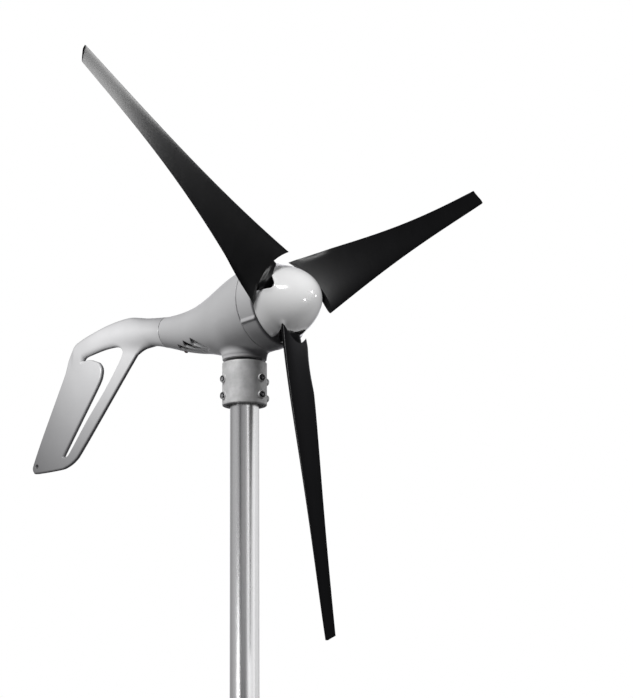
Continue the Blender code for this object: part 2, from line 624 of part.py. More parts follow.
def hub_parts(mats, spin):
    rear, front = HUB_PLATE
    bore = SHAFT_RADIUS + GAP
    plate = add("hub_plate", ring(rear, front, bore, HUB_PLATE_RADIUS), mats["aluminium"], spin)
    for i in range(BLADE_COUNT):
        for radius in BLADE_SCREW_RADII:
            place = turn_yz((shank_middle(), radius), i)
            cut(plate, rod((rear - 0.01, *place), (front + 0.01, *place), 0.0034, 8), spin)
    washer = ring(front + GAP, front + 0.0019, bore, 0.0140, "X", 24)
    add("hub_washer", washer, mats["steel"], spin)
    nut = add("hub_nut", ring(front + 0.0022, front + 0.0112, 0.0, 0.0125, "X", 6), mats["steel"], spin)
    cut(nut, ring(front, front + 0.0200, 0.0, bore, "X", 24), spin)
    shaft = ((0.0090, 0.0), (0.0090, SHAFT_RADIUS - GAP), (0.1060, SHAFT_RADIUS - GAP), (0.1060, 0.0))
    add("rotor_shaft", turned(shaft, steps=16), mats["steel"], spin)
    core = ring(0.0300, 0.0600, SHAFT_RADIUS, MAGNET_CORE_RADIUS, "X", MEDIUM_CIRCLE)
    add("magnet_core", core, mats["steel"], spin)
    magnet = ring(*STATOR, MAGNET_CORE_RADIUS + GAP, MAGNET_RADIUS, "X", 24)
    add("magnet_ring", magnet, mats["magnet"], spin)


def shank_middle():
    return (SHANK[0] + SHANK[1]) / 2


def turn_yz(place, index):
    """A (sideways, outward) place on blade 1, moved to the blade of that index."""
    side, out = place
    angle = 2 * math.pi * index / BLADE_COUNT
    cosine, sine = math.cos(angle), math.sin(angle)
    return (side * cosine + out * sine, out * cosine - side * sine)


def blade_numbers(radius):
    """Chord, twist, leading edge sideways and upwind at a radius: a quartic through the stations."""
    rows = np.array(BLADE_STATIONS)
    fit = np.polyfit(rows[:, 0] / ROTOR_RADIUS, rows[:, 1:], 4)
    return [float(np.polyval(column, radius / ROTOR_RADIUS)) for column in fit.T]


def half_thickness(c):
    """Half of a NACA four-digit section's thickness, as a share of its full thickness."""
    return 5 * (0.2969 * math.sqrt(c) - 0.1260 * c - 0.3516 * c**2 + 0.2843 * c**3 - 0.0986 * c**4)


def blade_section(radius, half_points=7, camber=0.035):
    """One aerofoil section, round at the leading edge and thin at the trailing edge."""
    chord, twist, lead_side, lead_up = blade_numbers(radius)
    turn = math.radians(twist)
    back = Vector((-math.sin(turn), -math.cos(turn), 0))  # from leading to trailing edge
    upwind = Vector((math.cos(turn), -math.sin(turn), 0))
    share = radius / ROTOR_RADIUS
    thickness = 0.115 - 0.02 * share
    sides = []
    for face in (1, -1):
        points = []
        for i in range(half_points + 1):
            c = 0.5 - 0.5 * math.cos(math.pi * i / half_points)
            lift = face * thickness * half_thickness(c) - camber * 4 * c * (1 - c)
            clip = 6 * max(share - 0.985, 0) * c * chord  # trailing corner ends short
            edge = Vector((lead_up, lead_side, radius - clip))
            points.append(edge + (back * c + upwind * lift) * chord)
        sides.append(points)
    return sides[0] + sides[1][-1:0:-1]


def blade(index, mats, spin):
    turn = (-2 * math.pi * index / BLADE_COUNT, 0, 0)
    frame = frame_empty(f"blade_frame_{index + 1}", (0, 0, 0), turn, spin)
    radii = [0.038, 0.060, 0.085, 0.11, 0.15, 0.20, 0.26, 0.33, 0.41, 0.49, 0.55, ROTOR_RADIUS]
    sections = [blade_section(radius) for radius in radii]
    made = add(f"blade_{index + 1}", loft(sections), mats["blade"], frame)
    cut(made, ring(0.0300, 0.2000, 0.0, BLADE_ROOT_ARC, "X", 48), frame)
    seat = HUB_PLATE[1] + GAP
    join(made, shank_shape(seat), frame)
    for radius in BLADE_SCREW_RADII:
        y = shank_middle()
        end = (seat + 0.04, y, radius)
        cut(made, rod((seat - 0.01, y, radius), end, BLADE_SCREW_HOLE), frame)
        cut(made, rod((seat + 0.0090, y, radius), end, BLADE_SCREW_WELL), frame)
    return frame


def shank_shape(seat):
    """The bolted root: flat on the hub plate, barrel-backed upwind, running out into the blade."""
    sections = []
    middle, half = shank_middle(), (SHANK[1] - SHANK[0]) / 2
    for radius, crown, shrink in SHANK_STATIONS:
        lift = max(radius - 0.06, 0.0) * 0.45
        side = 0.0030  # height of the flat sides
        section = [Vector((seat + lift, middle + half * shrink, radius))]
        for i in range(11):
            angle = math.pi * i / 10
            height = seat + lift + side + (crown - side - lift * 0.5) * math.sin(angle) ** 0.7
            section.append(Vector((height, middle + half * shrink * math.cos(angle), radius)))
        section.append(Vector((seat + lift, middle - half * shrink, radius)))
        sections.append(section)
    return loft(sections)


def blade_screws(mats, frame, first):
    seat = HUB_PLATE[1] + GAP
    shank_radius, head_radius = BLADE_SCREW
    for number, radius in enumerate(BLADE_SCREW_RADII, first):
        y = shank_middle()
        shank = rod((HUB_PLATE[0] + 0.0005, y, radius), (seat + 0.0100, y, radius), shank_radius, 8)
        screw = add(f"blade_screw_{number}", shank, mats["screw"], frame)
        head = rod((seat + 0.0094, y, radius), (seat + 0.0150, y, radius), head_radius, 12)
        join(screw, head, frame)


# ---- assembly -----------------------------------------------------------------------------------
def clear_scene():
    for obj in list(bpy.data.objects):
        bpy.data.objects.remove(obj)


def all_materials():
    return {
        "paint": material("satin_grey_paint", (0.62, 0.62, 0.63), 0.42),
        "nose": material("gloss_grey_plastic", (0.72, 0.72, 0.72), 0.18),
        "blade": material("black_blade_plastic", (0.012, 0.012, 0.014), 0.38),
        "collar": material("sand_cast_aluminium", (0.55, 0.55, 0.54), 0.62, 0.6),
        "cast": material("cast_aluminium", (0.58, 0.58, 0.58), 0.50, 0.8),
        "mast": material("brushed_tube", (0.62, 0.62, 0.62), 0.30, 1.0),
        "screw": material("screw_steel", (0.45, 0.45, 0.45), 0.30, 1.0),
        "steel": material("bearing_steel", (0.60, 0.60, 0.60), 0.20, 1.0),
        "aluminium": material("machined_aluminium", (0.75, 0.75, 0.76), 0.35, 1.0),
        "brass": material("slip_ring_brass", (0.80, 0.62, 0.30), 0.25, 1.0),
        "copper": material("winding_copper", (0.72, 0.36, 0.18), 0.40, 1.0),
        "laminations": material("stator_laminations", (0.25, 0.25, 0.26), 0.50, 0.8),
        "magnet": material("magnet_nickel", (0.50, 0.50, 0.50), 0.30, 1.0),
        "insulator": material("black_insulator", (0.03, 0.03, 0.03), 0.50),
        "carbon": material("brush_carbon", (0.02, 0.02, 0.02), 0.70),
        "board": material("circuit_board_green", (0.02, 0.20, 0.08), 0.50),
        "foil": material("capacitor_sleeve", (0.05, 0.07, 0.12), 0.40),
        "lens": material("status_lens_red", (0.55, 0.03, 0.02), 0.15),
    }


def main():
    clear_scene()
    mats = all_materials()
    hub = frame_empty("hub_point", (0, 0, HUB_HEIGHT))
    tilt = frame_empty("rotor_axis", (0, 0, 0), (0, -ROTOR_TILT, 0), hub)
    spin = frame_empty("rotor_turn", (0, 0, 0), (-REST_AZIMUTH, 0, 0), tilt)
    mast(mats, hub)
    clamp(mats, hub)
    yaw_post(mats, hub)
    yaw_parts(mats, hub)
    brushes(mats, hub)
    body = nacelle_body(mats, hub, tilt)
    board_posts(body, hub)
    front_cover(mats, tilt)
    alternator(mats, tilt)
    electronics(mats, hub)
    tail(mats, hub)
    for name, middle in zip(("rotor_bearing_rear", "rotor_bearing_front"), ROTOR_BEARING_MIDDLES):
        bearing(name, middle, ROTOR_BEARING, "X", mats, tilt, MEDIUM_CIRCLE)
    nose_cone(mats, spin)
    hub_parts(mats, spin)
    for index in range(BLADE_COUNT):
        frame = blade(index, mats, spin)
        blade_screws(mats, frame, 1 + 2 * index)


main()
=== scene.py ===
"""Looks of the small wind turbine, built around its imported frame.

Metres, +Z up, +X upwind. Shapes are described about the hub point, where the rotor axis crosses the
yaw axis: x, y, z there are level, and s, y, w run along, across and up from the tilted rotor axis.
Cast and moulded pieces are the zero surface of a distance field, meshed by surface nets.
"""

import json
import math

import bmesh
import bpy
import numpy as np
from mathutils import Matrix, Vector

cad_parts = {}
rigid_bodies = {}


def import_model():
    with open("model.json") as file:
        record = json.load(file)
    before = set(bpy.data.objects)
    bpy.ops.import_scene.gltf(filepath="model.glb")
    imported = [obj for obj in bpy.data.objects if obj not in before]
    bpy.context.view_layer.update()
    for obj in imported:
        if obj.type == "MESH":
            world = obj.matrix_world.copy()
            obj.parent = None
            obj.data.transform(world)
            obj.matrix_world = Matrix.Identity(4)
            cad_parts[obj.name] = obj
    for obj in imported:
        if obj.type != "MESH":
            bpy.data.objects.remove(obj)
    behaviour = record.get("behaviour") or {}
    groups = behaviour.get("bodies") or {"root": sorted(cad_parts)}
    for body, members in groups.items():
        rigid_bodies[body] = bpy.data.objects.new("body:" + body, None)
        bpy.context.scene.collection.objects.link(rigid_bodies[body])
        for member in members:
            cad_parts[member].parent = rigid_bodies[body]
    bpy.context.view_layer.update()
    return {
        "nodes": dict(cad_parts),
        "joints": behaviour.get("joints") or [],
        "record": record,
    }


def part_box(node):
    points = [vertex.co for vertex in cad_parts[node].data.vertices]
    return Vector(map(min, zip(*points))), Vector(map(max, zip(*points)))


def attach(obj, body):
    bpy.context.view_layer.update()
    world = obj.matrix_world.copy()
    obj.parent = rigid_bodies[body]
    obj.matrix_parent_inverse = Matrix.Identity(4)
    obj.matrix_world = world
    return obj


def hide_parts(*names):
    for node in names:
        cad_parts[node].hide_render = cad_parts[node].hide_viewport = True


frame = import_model()

JOINTS = {joint["name"]: joint for joint in frame["joints"]}
HUB = Vector(JOINTS["yaw"]["pos_m"])
AXIS = Vector(JOINTS["rotor_spin"]["axis"])
TILT = math.atan2(AXIS.z, AXIS.x)
COS_TILT, SIN_TILT = math.cos(TILT), math.sin(TILT)

# ---- sizes --------------------------------------------------------------------------------------
BLADE_COUNT = 3
ROTOR_RADIUS = 0.575
REST_AZIMUTH = math.radians(-57.35)  # blade 1, clockwise from straight up, seen from upwind
GAP = 0.0003
EDGE = 0.0016  # rounding of a casting's edges

BODY_STATIONS = (  # x, height of the section's centre, radius
    (-0.2500, 0.0064, 0.0234),
    (-0.2060, -0.0002, 0.0243),
    (-0.1700, -0.0064, 0.0278),
    (-0.1350, -0.0111, 0.0338),
    (-0.1030, -0.0126, 0.0398),
    (-0.0750, -0.0114, 0.0462),
    (-0.0450, -0.0105, 0.0558),
    (-0.0150, -0.0087, 0.0660),
    (0.0150, -0.0012, 0.0706),
    (0.0480, 0.0045, 0.0732),
    (0.0780, 0.0074, 0.0745),
)
BODY_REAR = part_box("nacelle_body")[0].x
BODY_FRONT = 0.0474
BODY_WALL = 0.0035
NECK_STATIONS = (  # height, radius
    (-0.0810, 0.0370),
    (-0.0745, 0.0371),
    (-0.0680, 0.0382),
    (-0.0400, 0.0384),
)
NECK_BOTTOM = -0.0788
NECK_FILLET = 0.0050
YAW_BORE = 0.0240
BEARING_BORE = 0.0179

COOLING_SLOTS = (  # middle of the rear end and of the front end (x, y), one side
    ((-0.0930, 0.0322), (-0.0560, 0.0262)),
    ((-0.1150, 0.0268), (-0.0640, 0.0178)),
    ((-0.1340, 0.0190), (-0.0840, 0.0090)),
)
SLOT_WIDTHS = (0.0086, 0.0066)
SLOT_DEPTH = 0.0150
SLOT_FLOOR_START, SLOT_FLOOR_END, SLOT_RAMP = 0.58, 1.02, 0.40
LENS_PLACE = (-0.1350, 0.0, -0.0469)
LENS_RADIUS = 0.0038

COVER_REAR, COVER_FRONT = 0.0481, 0.0780
COVER_RADII = (0.0730, 0.0710)
COVER_WALL = 0.0030
COVER_STEP_ANGLE = math.radians(115.0)
COVER_SCREW_CIRCLE = 0.0652

NOSE_REAR = 0.0792
NOSE_CENTRE = 0.0350
NOSE_LENGTH = 0.1236
NOSE_RADIUS = 0.0705
NOSE_WALL = 0.0025
NOSE_FLARE = 0.0042  # how much the rear rim opens out from the ellipsoid
NOSE_FLARE_START, NOSE_FLARE_LENGTH = 0.0990, 0.0198
NOTCH = (  # sideways place and place along the rotor axis, round the opening for one blade root
    (-0.0520, 0.0700), (-0.0460, 0.0820), (-0.0360, 0.0870), (-0.0280, 0.0910), (-0.0250, 0.0960),
    (-0.0240, 0.1060), (-0.0215, 0.1130), (-0.0140, 0.1150), (-0.0010, 0.1090), (0.0080, 0.1050),
    (0.0190, 0.1020), (0.0250, 0.1042), (0.0290, 0.1088), (0.0265, 0.1030), (0.0215, 0.0960),
    (0.0195, 0.0900), (0.0200, 0.0850), (0.0230, 0.0800), (0.0240, 0.0700),
)

BLADE_STATIONS = (  # radius, chord, twist in degrees, leading edge's sideways and upwind place
    (0.040, 0.1139, 22.64, 0.0504, 0.1274),
    (0.100, 0.0989, 16.51, 0.0444, 0.1245),
    (0.150, 0.0865, 12.70, 0.0388, 0.1243),
    (0.250, 0.0638, 7.57, 0.0276, 0.1273),
    (0.350, 0.0468, 4.64, 0.0181, 0.1324),
    (0.450, 0.0363, 3.04, 0.0105, 0.1380),
    (0.575, 0.0278, 3.85, 0.0020, 0.1455),
)
BLADE_ROOT_ARC = 0.0740
BLADE_CAMBER = 0.035
SHANK = (-0.0260, 0.0180)
BLADE_SCREW_RADII = (0.0310, 0.0470)
HUB_PLATE_FRONT = 0.0900

BOOM_STATIONS = (  # x, height of the centre, half height, half width
    (-0.1600, -0.0080, 0.0292, 0.0292),
    (-0.1766, -0.0053, 0.0271, 0.0271),
    (-0.2064, 0.0000, 0.0246, 0.0243),
    (-0.2500, 0.0055, 0.0238, 0.0205),
    (-0.2900, 0.0095, 0.0198, 0.0160),
    (-0.3300, 0.0080, 0.0160, 0.0120),
    (-0.3700, 0.0010, 0.0140, 0.0085),
    (-0.4050, -0.0080, 0.0110, 0.0050),
)
TAIL_THICKNESS = 0.0090
TAIL_OUTLINE = (
    (-0.2300, 0.0120), (-0.2560, 0.0270), (-0.2780, 0.0300), (-0.3230, 0.0245), (-0.3600, 0.0150),
    (-0.3920, 0.0060), (-0.4148, -0.0060), (-0.4250, -0.0200), (-0.4332, -0.0433), (-0.4517, -0.0791),
    (-0.4931, -0.1578), (-0.5129, -0.1992), (-0.5150, -0.2080), (-0.5117, -0.2139), (-0.5039, -0.2168),
    (-0.4464, -0.2161), (-0.4257, -0.2130), (-0.4056, -0.2037), (-0.3873, -0.1861), (-0.3240, -0.1140),
    (-0.2607, -0.0417), (-0.2504, -0.0324), (-0.2353, -0.0230), (-0.2200, -0.0150),
)
TAIL_WINDOW = (
    (-0.3100, -0.0078), (-0.2997, -0.0094), (-0.2930, -0.0130), (-0.2886, -0.0182), (-0.2884, -0.0271),
    (-0.2994, -0.0451), (-0.3328, -0.0873), (-0.3766, -0.1355), (-0.4181, -0.1862), (-0.4274, -0.1935),
    (-0.4335, -0.1940), (-0.4345, -0.1925), (-0.4290, -0.1844), (-0.3885, -0.1295), (-0.3480, -0.0745),
    (-0.3402, -0.0576), (-0.3402, -0.0450), (-0.3474, -0.0352), (-0.3577, -0.0309), (-0.3705, -0.0279),
    (-0.3884, -0.0292), (-0.3910, -0.0285), (-0.3891, -0.0202), (-0.3851, -0.0172), (-0.3759, -0.0145),
    (-0.3380, -0.0093),
)
TAIL_HOLE = (-0.5024, -0.2040, 0.0035)
TAIL_ROUNDING = 0.0034

MAST_RADIUS = 0.02413
MAST_WALL = 0.00368
COLLAR_RADIUS = 0.0373
COLLAR_TOP = -0.0834
COLLAR_BOTTOM = -0.1560
CLAMP_WALL = 0.0060
CLAMP_AZIMUTH = math.radians(-56.7)
SCREW_SPREAD = math.radians(57.7)
SCREW_SPLAY = math.radians(38.0)
SCREW_ROWS = (-0.1128, -0.1410)
BOSS_RADIUS = 0.0066
BOSS_HEIGHT = 0.0046
COUNTERBORE = 0.0052
SCREW_HOLE = 0.0034

CAMERA_PLACE = (2.61360, -2.82676, -0.86300)  # about the hub
CAMERA_AZIMUTH = math.radians(-49.03)
CAMERA_PITCH = math.radians(11.79)
CAMERA_ROLL = math.radians(-0.36)
CAMERA_LENS, CAMERA_SENSOR = 121.51, 36.0  # mm
PITCHED = Vector((-math.cos(CAMERA_PITCH), 0.0, math.sin(CAMERA_PITCH)))
FORWARD = Matrix.Rotation(CAMERA_AZIMUTH, 3, "Z") @ PITCHED
SKY_BELOW, SKY_ABOVE, SKY_BEHIND = 0.055, 0.13, 0.8  # strengths

METAL_PANELS = (  # degrees to the right of the camera, height, width and height, power
    (-135, 0.0, (3.0, 1.8), 6.5),
    (-75, 0.0, (3.0, 1.8), 8.0),
    (0, 0.2, (2.2, 1.4), 3.2),
    (60, 0.0, (3.0, 1.8), 22.0),
    (120, 0.0, (3.0, 1.8), 15.0),
    (-48, -0.60, (0.60, 0.60), 7.0),
    (27, 0.10, (0.40, 1.40), 2.6),
)
NOSE_LAMPS = (  # place about the hub, width and height, power
    ((0.903, -1.895, 1.338), (0.60, 0.30), 14.0),
    ((2.230, 1.008, 0.669), (0.30, 0.30), 6.0),
    ((2.443, -0.133, -0.705), (0.36, 0.24), 5.0),
    ((1.694, 1.829, 0.245), (0.24, 0.24), 3.0),
)


# ---- material nodes -----------------------------------------------------------------------------
class Shader:
    """A material's node tree with short calls to add nodes and link them."""

    def __init__(self, name, colour, roughness, metallic=0.0, **values):
        self.material = bpy.data.materials.new(name)
        self.material.use_nodes = True
        self.tree = self.material.node_tree
        self.shader = self.tree.nodes["Principled BSDF"]
        self.set("Base Color", (*colour, 1.0))
        self.set("Roughness", roughness)
        self.set("Metallic", metallic)
        for key, value in values.items():
            self.set(key.replace("_", " "), value)
        self.colour, self.roughness = colour, roughness
        self.coordinates = self.node("ShaderNodeTexCoord").outputs["Object"]

    def set(self, socket, value):
        self.shader.inputs[socket].default_value = value

    def node(self, kind, **inputs):
        made = self.tree.nodes.new(kind)
        for key, value in inputs.items():
            socket = made.inputs[int(key[2:]) if key.startswith("in") else key.replace("_", " ")]
            if isinstance(value, bpy.types.NodeSocket):
                self.tree.links.new(value, socket)
            else:
                socket.default_value = value
        return made

    def stretched(self, scale):
        """Coordinates with a different scale along each axis, in repeats per metre."""
        made = self.node("ShaderNodeMapping", Vector=self.coordinates, Scale=scale)
        return made.outputs["Vector"]

    def noise(self, scale, detail=3.0, vector=None, roughness=0.55):
        made = self.node("ShaderNodeTexNoise", Vector=vector or self.coordinates, Scale=scale,
                         Detail=detail, Roughness=roughness)
        return made.outputs["Fac"]

    def spread(self, value, low, high, start=0.3, end=0.7):
        made = self.node("ShaderNodeMapRange", Value=value, in1=start, in2=end, in3=low, in4=high)
        return made.outputs["Result"]

    def mix(self, factor, low, high):
        made = self.node("ShaderNodeMix")
        made.data_type = "RGBA"
        for socket, value in zip((made.inputs[0], made.inputs[6], made.inputs[7]), (factor, low, high)):
            if isinstance(value, bpy.types.NodeSocket):
                self.tree.links.new(value, socket)
            else:
                socket.default_value = value if socket is made.inputs[0] else (*value, 1.0)
        return made.outputs[2]

    def link(self, output, socket):
        self.tree.links.new(output, self.shader.inputs[socket])

    def bump(self, height, distance, strength=1.0):
        before = self.shader.inputs["Normal"]
        made = self.node("ShaderNodeBump", Height=height, Distance=distance, Strength=strength)
        if before.is_linked:
            self.tree.links.new(before.links[0].from_socket, made.inputs["Normal"])
        self.link(made.outputs["Normal"], "Normal")

    def vary_colour(self, pattern, amount, start=0.3, end=0.7):
        """Base colour from a little darker to a little lighter along a pattern."""
        low = tuple(c * (1 - amount) for c in self.colour)
        high = tuple(min(c * (1 + amount), 1.0) for c in self.colour)
        self.link(self.mix(self.spread(pattern, 0.0, 1.0, start, end), low, high), "Base Color")

    def vary_roughness(self, pattern, amount, start=0.3, end=0.7):
        low, high = self.roughness - amount, self.roughness + amount
        self.link(self.spread(pattern, low, high, start, end), "Roughness")


def satin_paint():
    """Light grey satin paint over a casting: faint orange peel, handling marks, the casting's waviness."""
    m = Shader("satin_grey_paint", (0.50, 0.50, 0.505), 0.40, 0.0, Coat_Weight=0.25, Coat_Roughness=0.22)
    m.vary_colour(m.noise(14.0, 4.0), 0.035)
    m.vary_roughness(m.noise(55.0, 5.0), 0.05)
    m.bump(m.noise(900.0, 2.0), 0.00010, 0.35)
    m.bump(m.noise(38.0, 2.0), 0.0006, 0.10)
    return m.material


def gloss_plastic():
    m = Shader("gloss_grey_plastic", (0.66, 0.66, 0.66), 0.17, 0.0, Coat_Weight=0.6, Coat_Roughness=0.05)
    m.vary_colour(m.noise(20.0, 3.0), 0.02)
    m.vary_roughness(m.noise(120.0, 4.0), 0.035)
    m.bump(m.noise(260.0, 2.0), 0.00008, 0.25)
    return m.material


def blade_plastic():
    """Black glass-filled moulding: flow lines along the span and a fine leathery skin."""
    m = Shader("black_blade_plastic", (0.0025, 0.0025, 0.0030), 0.32, 0.0, Specular_IOR_Level=0.32)
    flow = m.noise(1.0, 4.0, m.stretched((160.0, 160.0, 7.0)))
    m.vary_roughness(flow, 0.015)
    m.vary_colour(m.noise(30.0, 3.0), 0.35)
    m.bump(flow, 0.00015, 0.04)
    m.bump(m.noise(1500.0, 2.0), 0.00003, 0.10)
    return m.material


def sand_cast():
    """Unpainted sand-cast aluminium: grain, darker pits and a cloudy surface."""
    m = Shader("sand_cast_aluminium", (0.50, 0.50, 0.50), 0.56, 0.45)
    cloud = m.noise(70.0, 5.0)
    m.vary_colour(cloud, 0.16)
    m.vary_roughness(m.noise(300.0, 4.0), 0.08)
    m.bump(m.noise(1100.0, 4.0), 0.00030, 0.55)
    m.bump(m.noise(160.0, 3.0), 0.00060, 0.25)
    return m.material


def cast_metal():
    m = Shader("cast_aluminium", (0.42, 0.42, 0.42), 0.50, 0.8)
    m.vary_colour(m.noise(90.0, 4.0), 0.12)
    m.bump(m.noise(1200.0, 3.0), 0.0002, 0.4)
    return m.material


def drawn_tube():
    """Bright drawn tube: fine lines along its length, a few wider ones whose lighter and darker colour is
    partly die lines and partly painted reflection streaks, and soft handling marks.
    """
    m = Shader("brushed_tube", (0.64, 0.64, 0.645), 0.27, 1.0, Anisotropic=0.5)
    fine = m.noise(1.0, 3.0, m.stretched((1400.0, 1400.0, 6.0)))
    wide = m.noise(1.0, 2.0, m.stretched((150.0, 150.0, 0.8)))
    # Colour along the wider lines: die lines, and partly painted reflection streaks down the tube.
    m.vary_colour(wide, 0.16)
    m.vary_roughness(fine, 0.07)
    m.bump(fine, 0.00006, 0.25)
    m.bump(wide, 0.00030, 0.12)
    m.link(m.node("ShaderNodeTangent").outputs["Tangent"], "Tangent")
    return m.material


def plain_metal(name, colour, roughness, lines=(300.0, 300.0, 300.0)):
    """Machined or ground metal with tool marks that run along the axis with the smallest number."""
    m = Shader(name, colour, roughness, 1.0)
    marks = m.noise(1.0, 3.0, m.stretched(lines))
    m.vary_roughness(marks, roughness * 0.3)
    m.vary_colour(m.noise(60.0, 3.0), 0.06)
    m.bump(marks, 0.00004, 0.3)
    return m.material


def plain_plastic(name, colour, roughness, grain=700.0):
    m = Shader(name, colour, roughness)
    m.vary_colour(m.noise(40.0, 3.0), 0.10)
    m.vary_roughness(m.noise(grain * 0.3, 3.0), 0.06)
    m.bump(m.noise(grain, 2.0), 0.00006, 0.4)
    return m.material


def banded(name, colour, roughness, metallic, repeats, axis, depth):
    """Fine parallel bands across one axis: stacked sheet or wound wire."""
    m = Shader(name, colour, roughness, metallic)
    wave = m.node("ShaderNodeTexWave", Vector=m.coordinates, Scale=repeats, Distortion=0.6, Detail=1.0)
    wave.bands_direction = axis
    pattern = wave.outputs["Fac"]
    m.vary_colour(pattern, 0.3, 0.0, 1.0)
    m.vary_roughness(m.noise(200.0, 3.0), 0.06)
    m.bump(pattern, depth, 0.5)
    return m.material


def circuit_board_green():
    m = Shader("circuit_board_green", (0.02, 0.16, 0.07), 0.35, 0.0, Coat_Weight=0.4, Coat_Roughness=0.15)
    brick = m.node("ShaderNodeTexBrick", Vector=m.coordinates, Scale=90.0, in1=(0.03, 0.26, 0.10, 1.0),
                   in2=(0.015, 0.13, 0.06, 1.0), in3=(0.35, 0.30, 0.10, 1.0))
    brick.inputs["Mortar Size"].default_value = 0.03
    m.link(brick.outputs["Color"], "Base Color")
    m.bump(brick.outputs["Fac"], 0.00005, 0.3)
    return m.material


def lens_red():
    m = Shader("status_lens_red", (0.10, 0.012, 0.010), 0.12, 0.0, Coat_Weight=0.5, Coat_Roughness=0.05)
    m.vary_colour(m.noise(300.0, 2.0), 0.15)
    m.vary_roughness(m.noise(150.0, 2.0), 0.03)
    return m.material


MATERIALS = {
    "mast_steel": drawn_tube(),
    "cast_aluminium": cast_metal(),
    "sand_cast_aluminium": sand_cast(),
    "satin_paint": satin_paint(),
    "gloss_plastic": gloss_plastic(),
    "blade_plastic": blade_plastic(),
    "screw_steel": plain_metal("screw_bright_steel", (0.72, 0.72, 0.73), 0.28),
    "blackened_steel": plain_metal("screw_blackened_steel", (0.045, 0.045, 0.05), 0.35),
    "bearing_steel": plain_metal("bearing_steel", (0.60, 0.60, 0.61), 0.16, (900.0, 900.0, 40.0)),
    "machined_aluminium": plain_metal("machined_aluminium", (0.75, 0.75, 0.76), 0.32, (40.0, 900.0, 900.0)),
    "brass": plain_metal("slip_ring_brass", (0.80, 0.58, 0.26), 0.22, (900.0, 900.0, 30.0)),
    "copper": banded("winding_copper", (0.62, 0.26, 0.12), 0.32, 0.9, 260.0, "X", 0.0003),
    "laminations": banded("stator_laminations", (0.25, 0.25, 0.26), 0.45, 0.9, 320.0, "X", 0.0001),
    "magnet": plain_metal("magnet_nickel", (0.55, 0.54, 0.52), 0.24),
    "insulator": plain_plastic("black_insulator", (0.025, 0.025, 0.027), 0.48),
    "carbon": plain_plastic("brush_carbon", (0.02, 0.02, 0.02), 0.70, 1800.0),
    "board": circuit_board_green(),
    "capacitor_sleeve": plain_plastic("capacitor_sleeve", (0.03, 0.05, 0.10), 0.28, 300.0),
    "lens": lens_red(),
}


# ---- distance fields ----------------------------------------------------------------------------
def smooth_max(a, b, k):
    blend = np.maximum(k - np.abs(a - b), 0.0)
    return np.maximum(a, b) + blend * blend / (4 * k)


def smooth_min(a, b, k):
    return -smooth_max(-a, -b, k)


def curve_table(rows, steps=12):
    """Catmull-Rom curve through rows of numbers, as columns that np.interp can read."""
    rows = np.array(rows, float)
    rows = np.vstack([2 * rows[0] - rows[1], rows, 2 * rows[-1] - rows[-2]])
    found = []
    for i in range(1, len(rows) - 2):
        before, here, there, after = rows[i - 1 : i + 3]
        for u in np.arange(steps) / steps:
            bend = 2 * before - 5 * here + 4 * there - after
            turn = 3 * here - before - 3 * there + after
            found.append(here + 0.5 * ((there - before) * u + bend * u**2 + turn * u**3))
    found.append(rows[-2])
    table = np.array(found)
    return (table if table[0, 0] < table[-1, 0] else table[::-1]).T


def closed_rows(points, steps):
    """Points along a closed Catmull-Rom curve."""
    count = len(points)
    rows = np.array(points, float)
    found = []
    for i in range(count):
        before, here, there, after = (rows[(i + j) % count] for j in (-1, 0, 1, 2))
        for u in np.arange(steps) / steps:
            bend = 2 * before - 5 * here + 4 * there - after
            turn = 3 * here - before - 3 * there + after
            found.append(here + 0.5 * ((there - before) * u + bend * u**2 + turn * u**3))
    return found


class FlatField:
    """Signed distance to a closed outline in a plane, negative inside, read from a grid of samples."""

    def __init__(self, outline, step, margin=0.03):
        outline = np.array(outline)
        self.low, self.step = outline.min(0) - margin, step
        count = np.ceil((outline.max(0) + margin - self.low) / step).astype(int) + 1
        grid = np.stack(np.meshgrid(*[np.arange(n) * step for n in count], indexing="ij"), -1) + self.low
        best = np.full(count, np.inf)
        crossings = np.zeros(count, int)
        for a, b in zip(outline, np.roll(outline, -1, 0)):
            edge = b - a
            u = np.clip(((grid - a) @ edge) / (edge @ edge), 0, 1)
            gap = grid - a - u[..., None] * edge
            best = np.minimum(best, (gap**2).sum(-1))
            spans = (a[1] > grid[..., 1]) != (b[1] > grid[..., 1])
            rise = edge[1] if edge[1] else 1e-12
            crossings += spans & (grid[..., 0] < a[0] + (grid[..., 1] - a[1]) * edge[0] / rise)
        self.values = np.sqrt(best) * np.where(crossings % 2, -1.0, 1.0)

    def __call__(self, a, b):
        size = self.values.shape
        u = np.clip((a - self.low[0]) / self.step, 0, size[0] - 1.001)
        v = np.clip((b - self.low[1]) / self.step, 0, size[1] - 1.001)
        i, j = u.astype(int), v.astype(int)
        u, v = u - i, v - j
        t = self.values
        near = t[i, j] * (1 - u) + t[i + 1, j] * u
        far = t[i, j + 1] * (1 - u) + t[i + 1, j + 1] * u
        return near * (1 - v) + far * v


def along_axis(x, z):
    """Level x and z as places along (s) and up from (w) the tilted rotor axis."""
    return x * COS_TILT + z * SIN_TILT, z * COS_TILT - x * SIN_TILT


BODY_TABLE = curve_table(BODY_STATIONS)
BOOM_TABLE = curve_table(BOOM_STATIONS)
NECK_TABLE = curve_table(NECK_STATIONS)
TAIL_FIELD = FlatField(closed_rows(TAIL_OUTLINE, 4), 0.0010)
WINDOW_FIELD = FlatField(closed_rows(TAIL_WINDOW, 4), 0.0010)
NOTCH_FIELD = FlatField(closed_rows(NOTCH, 4), 0.0005, 0.05)


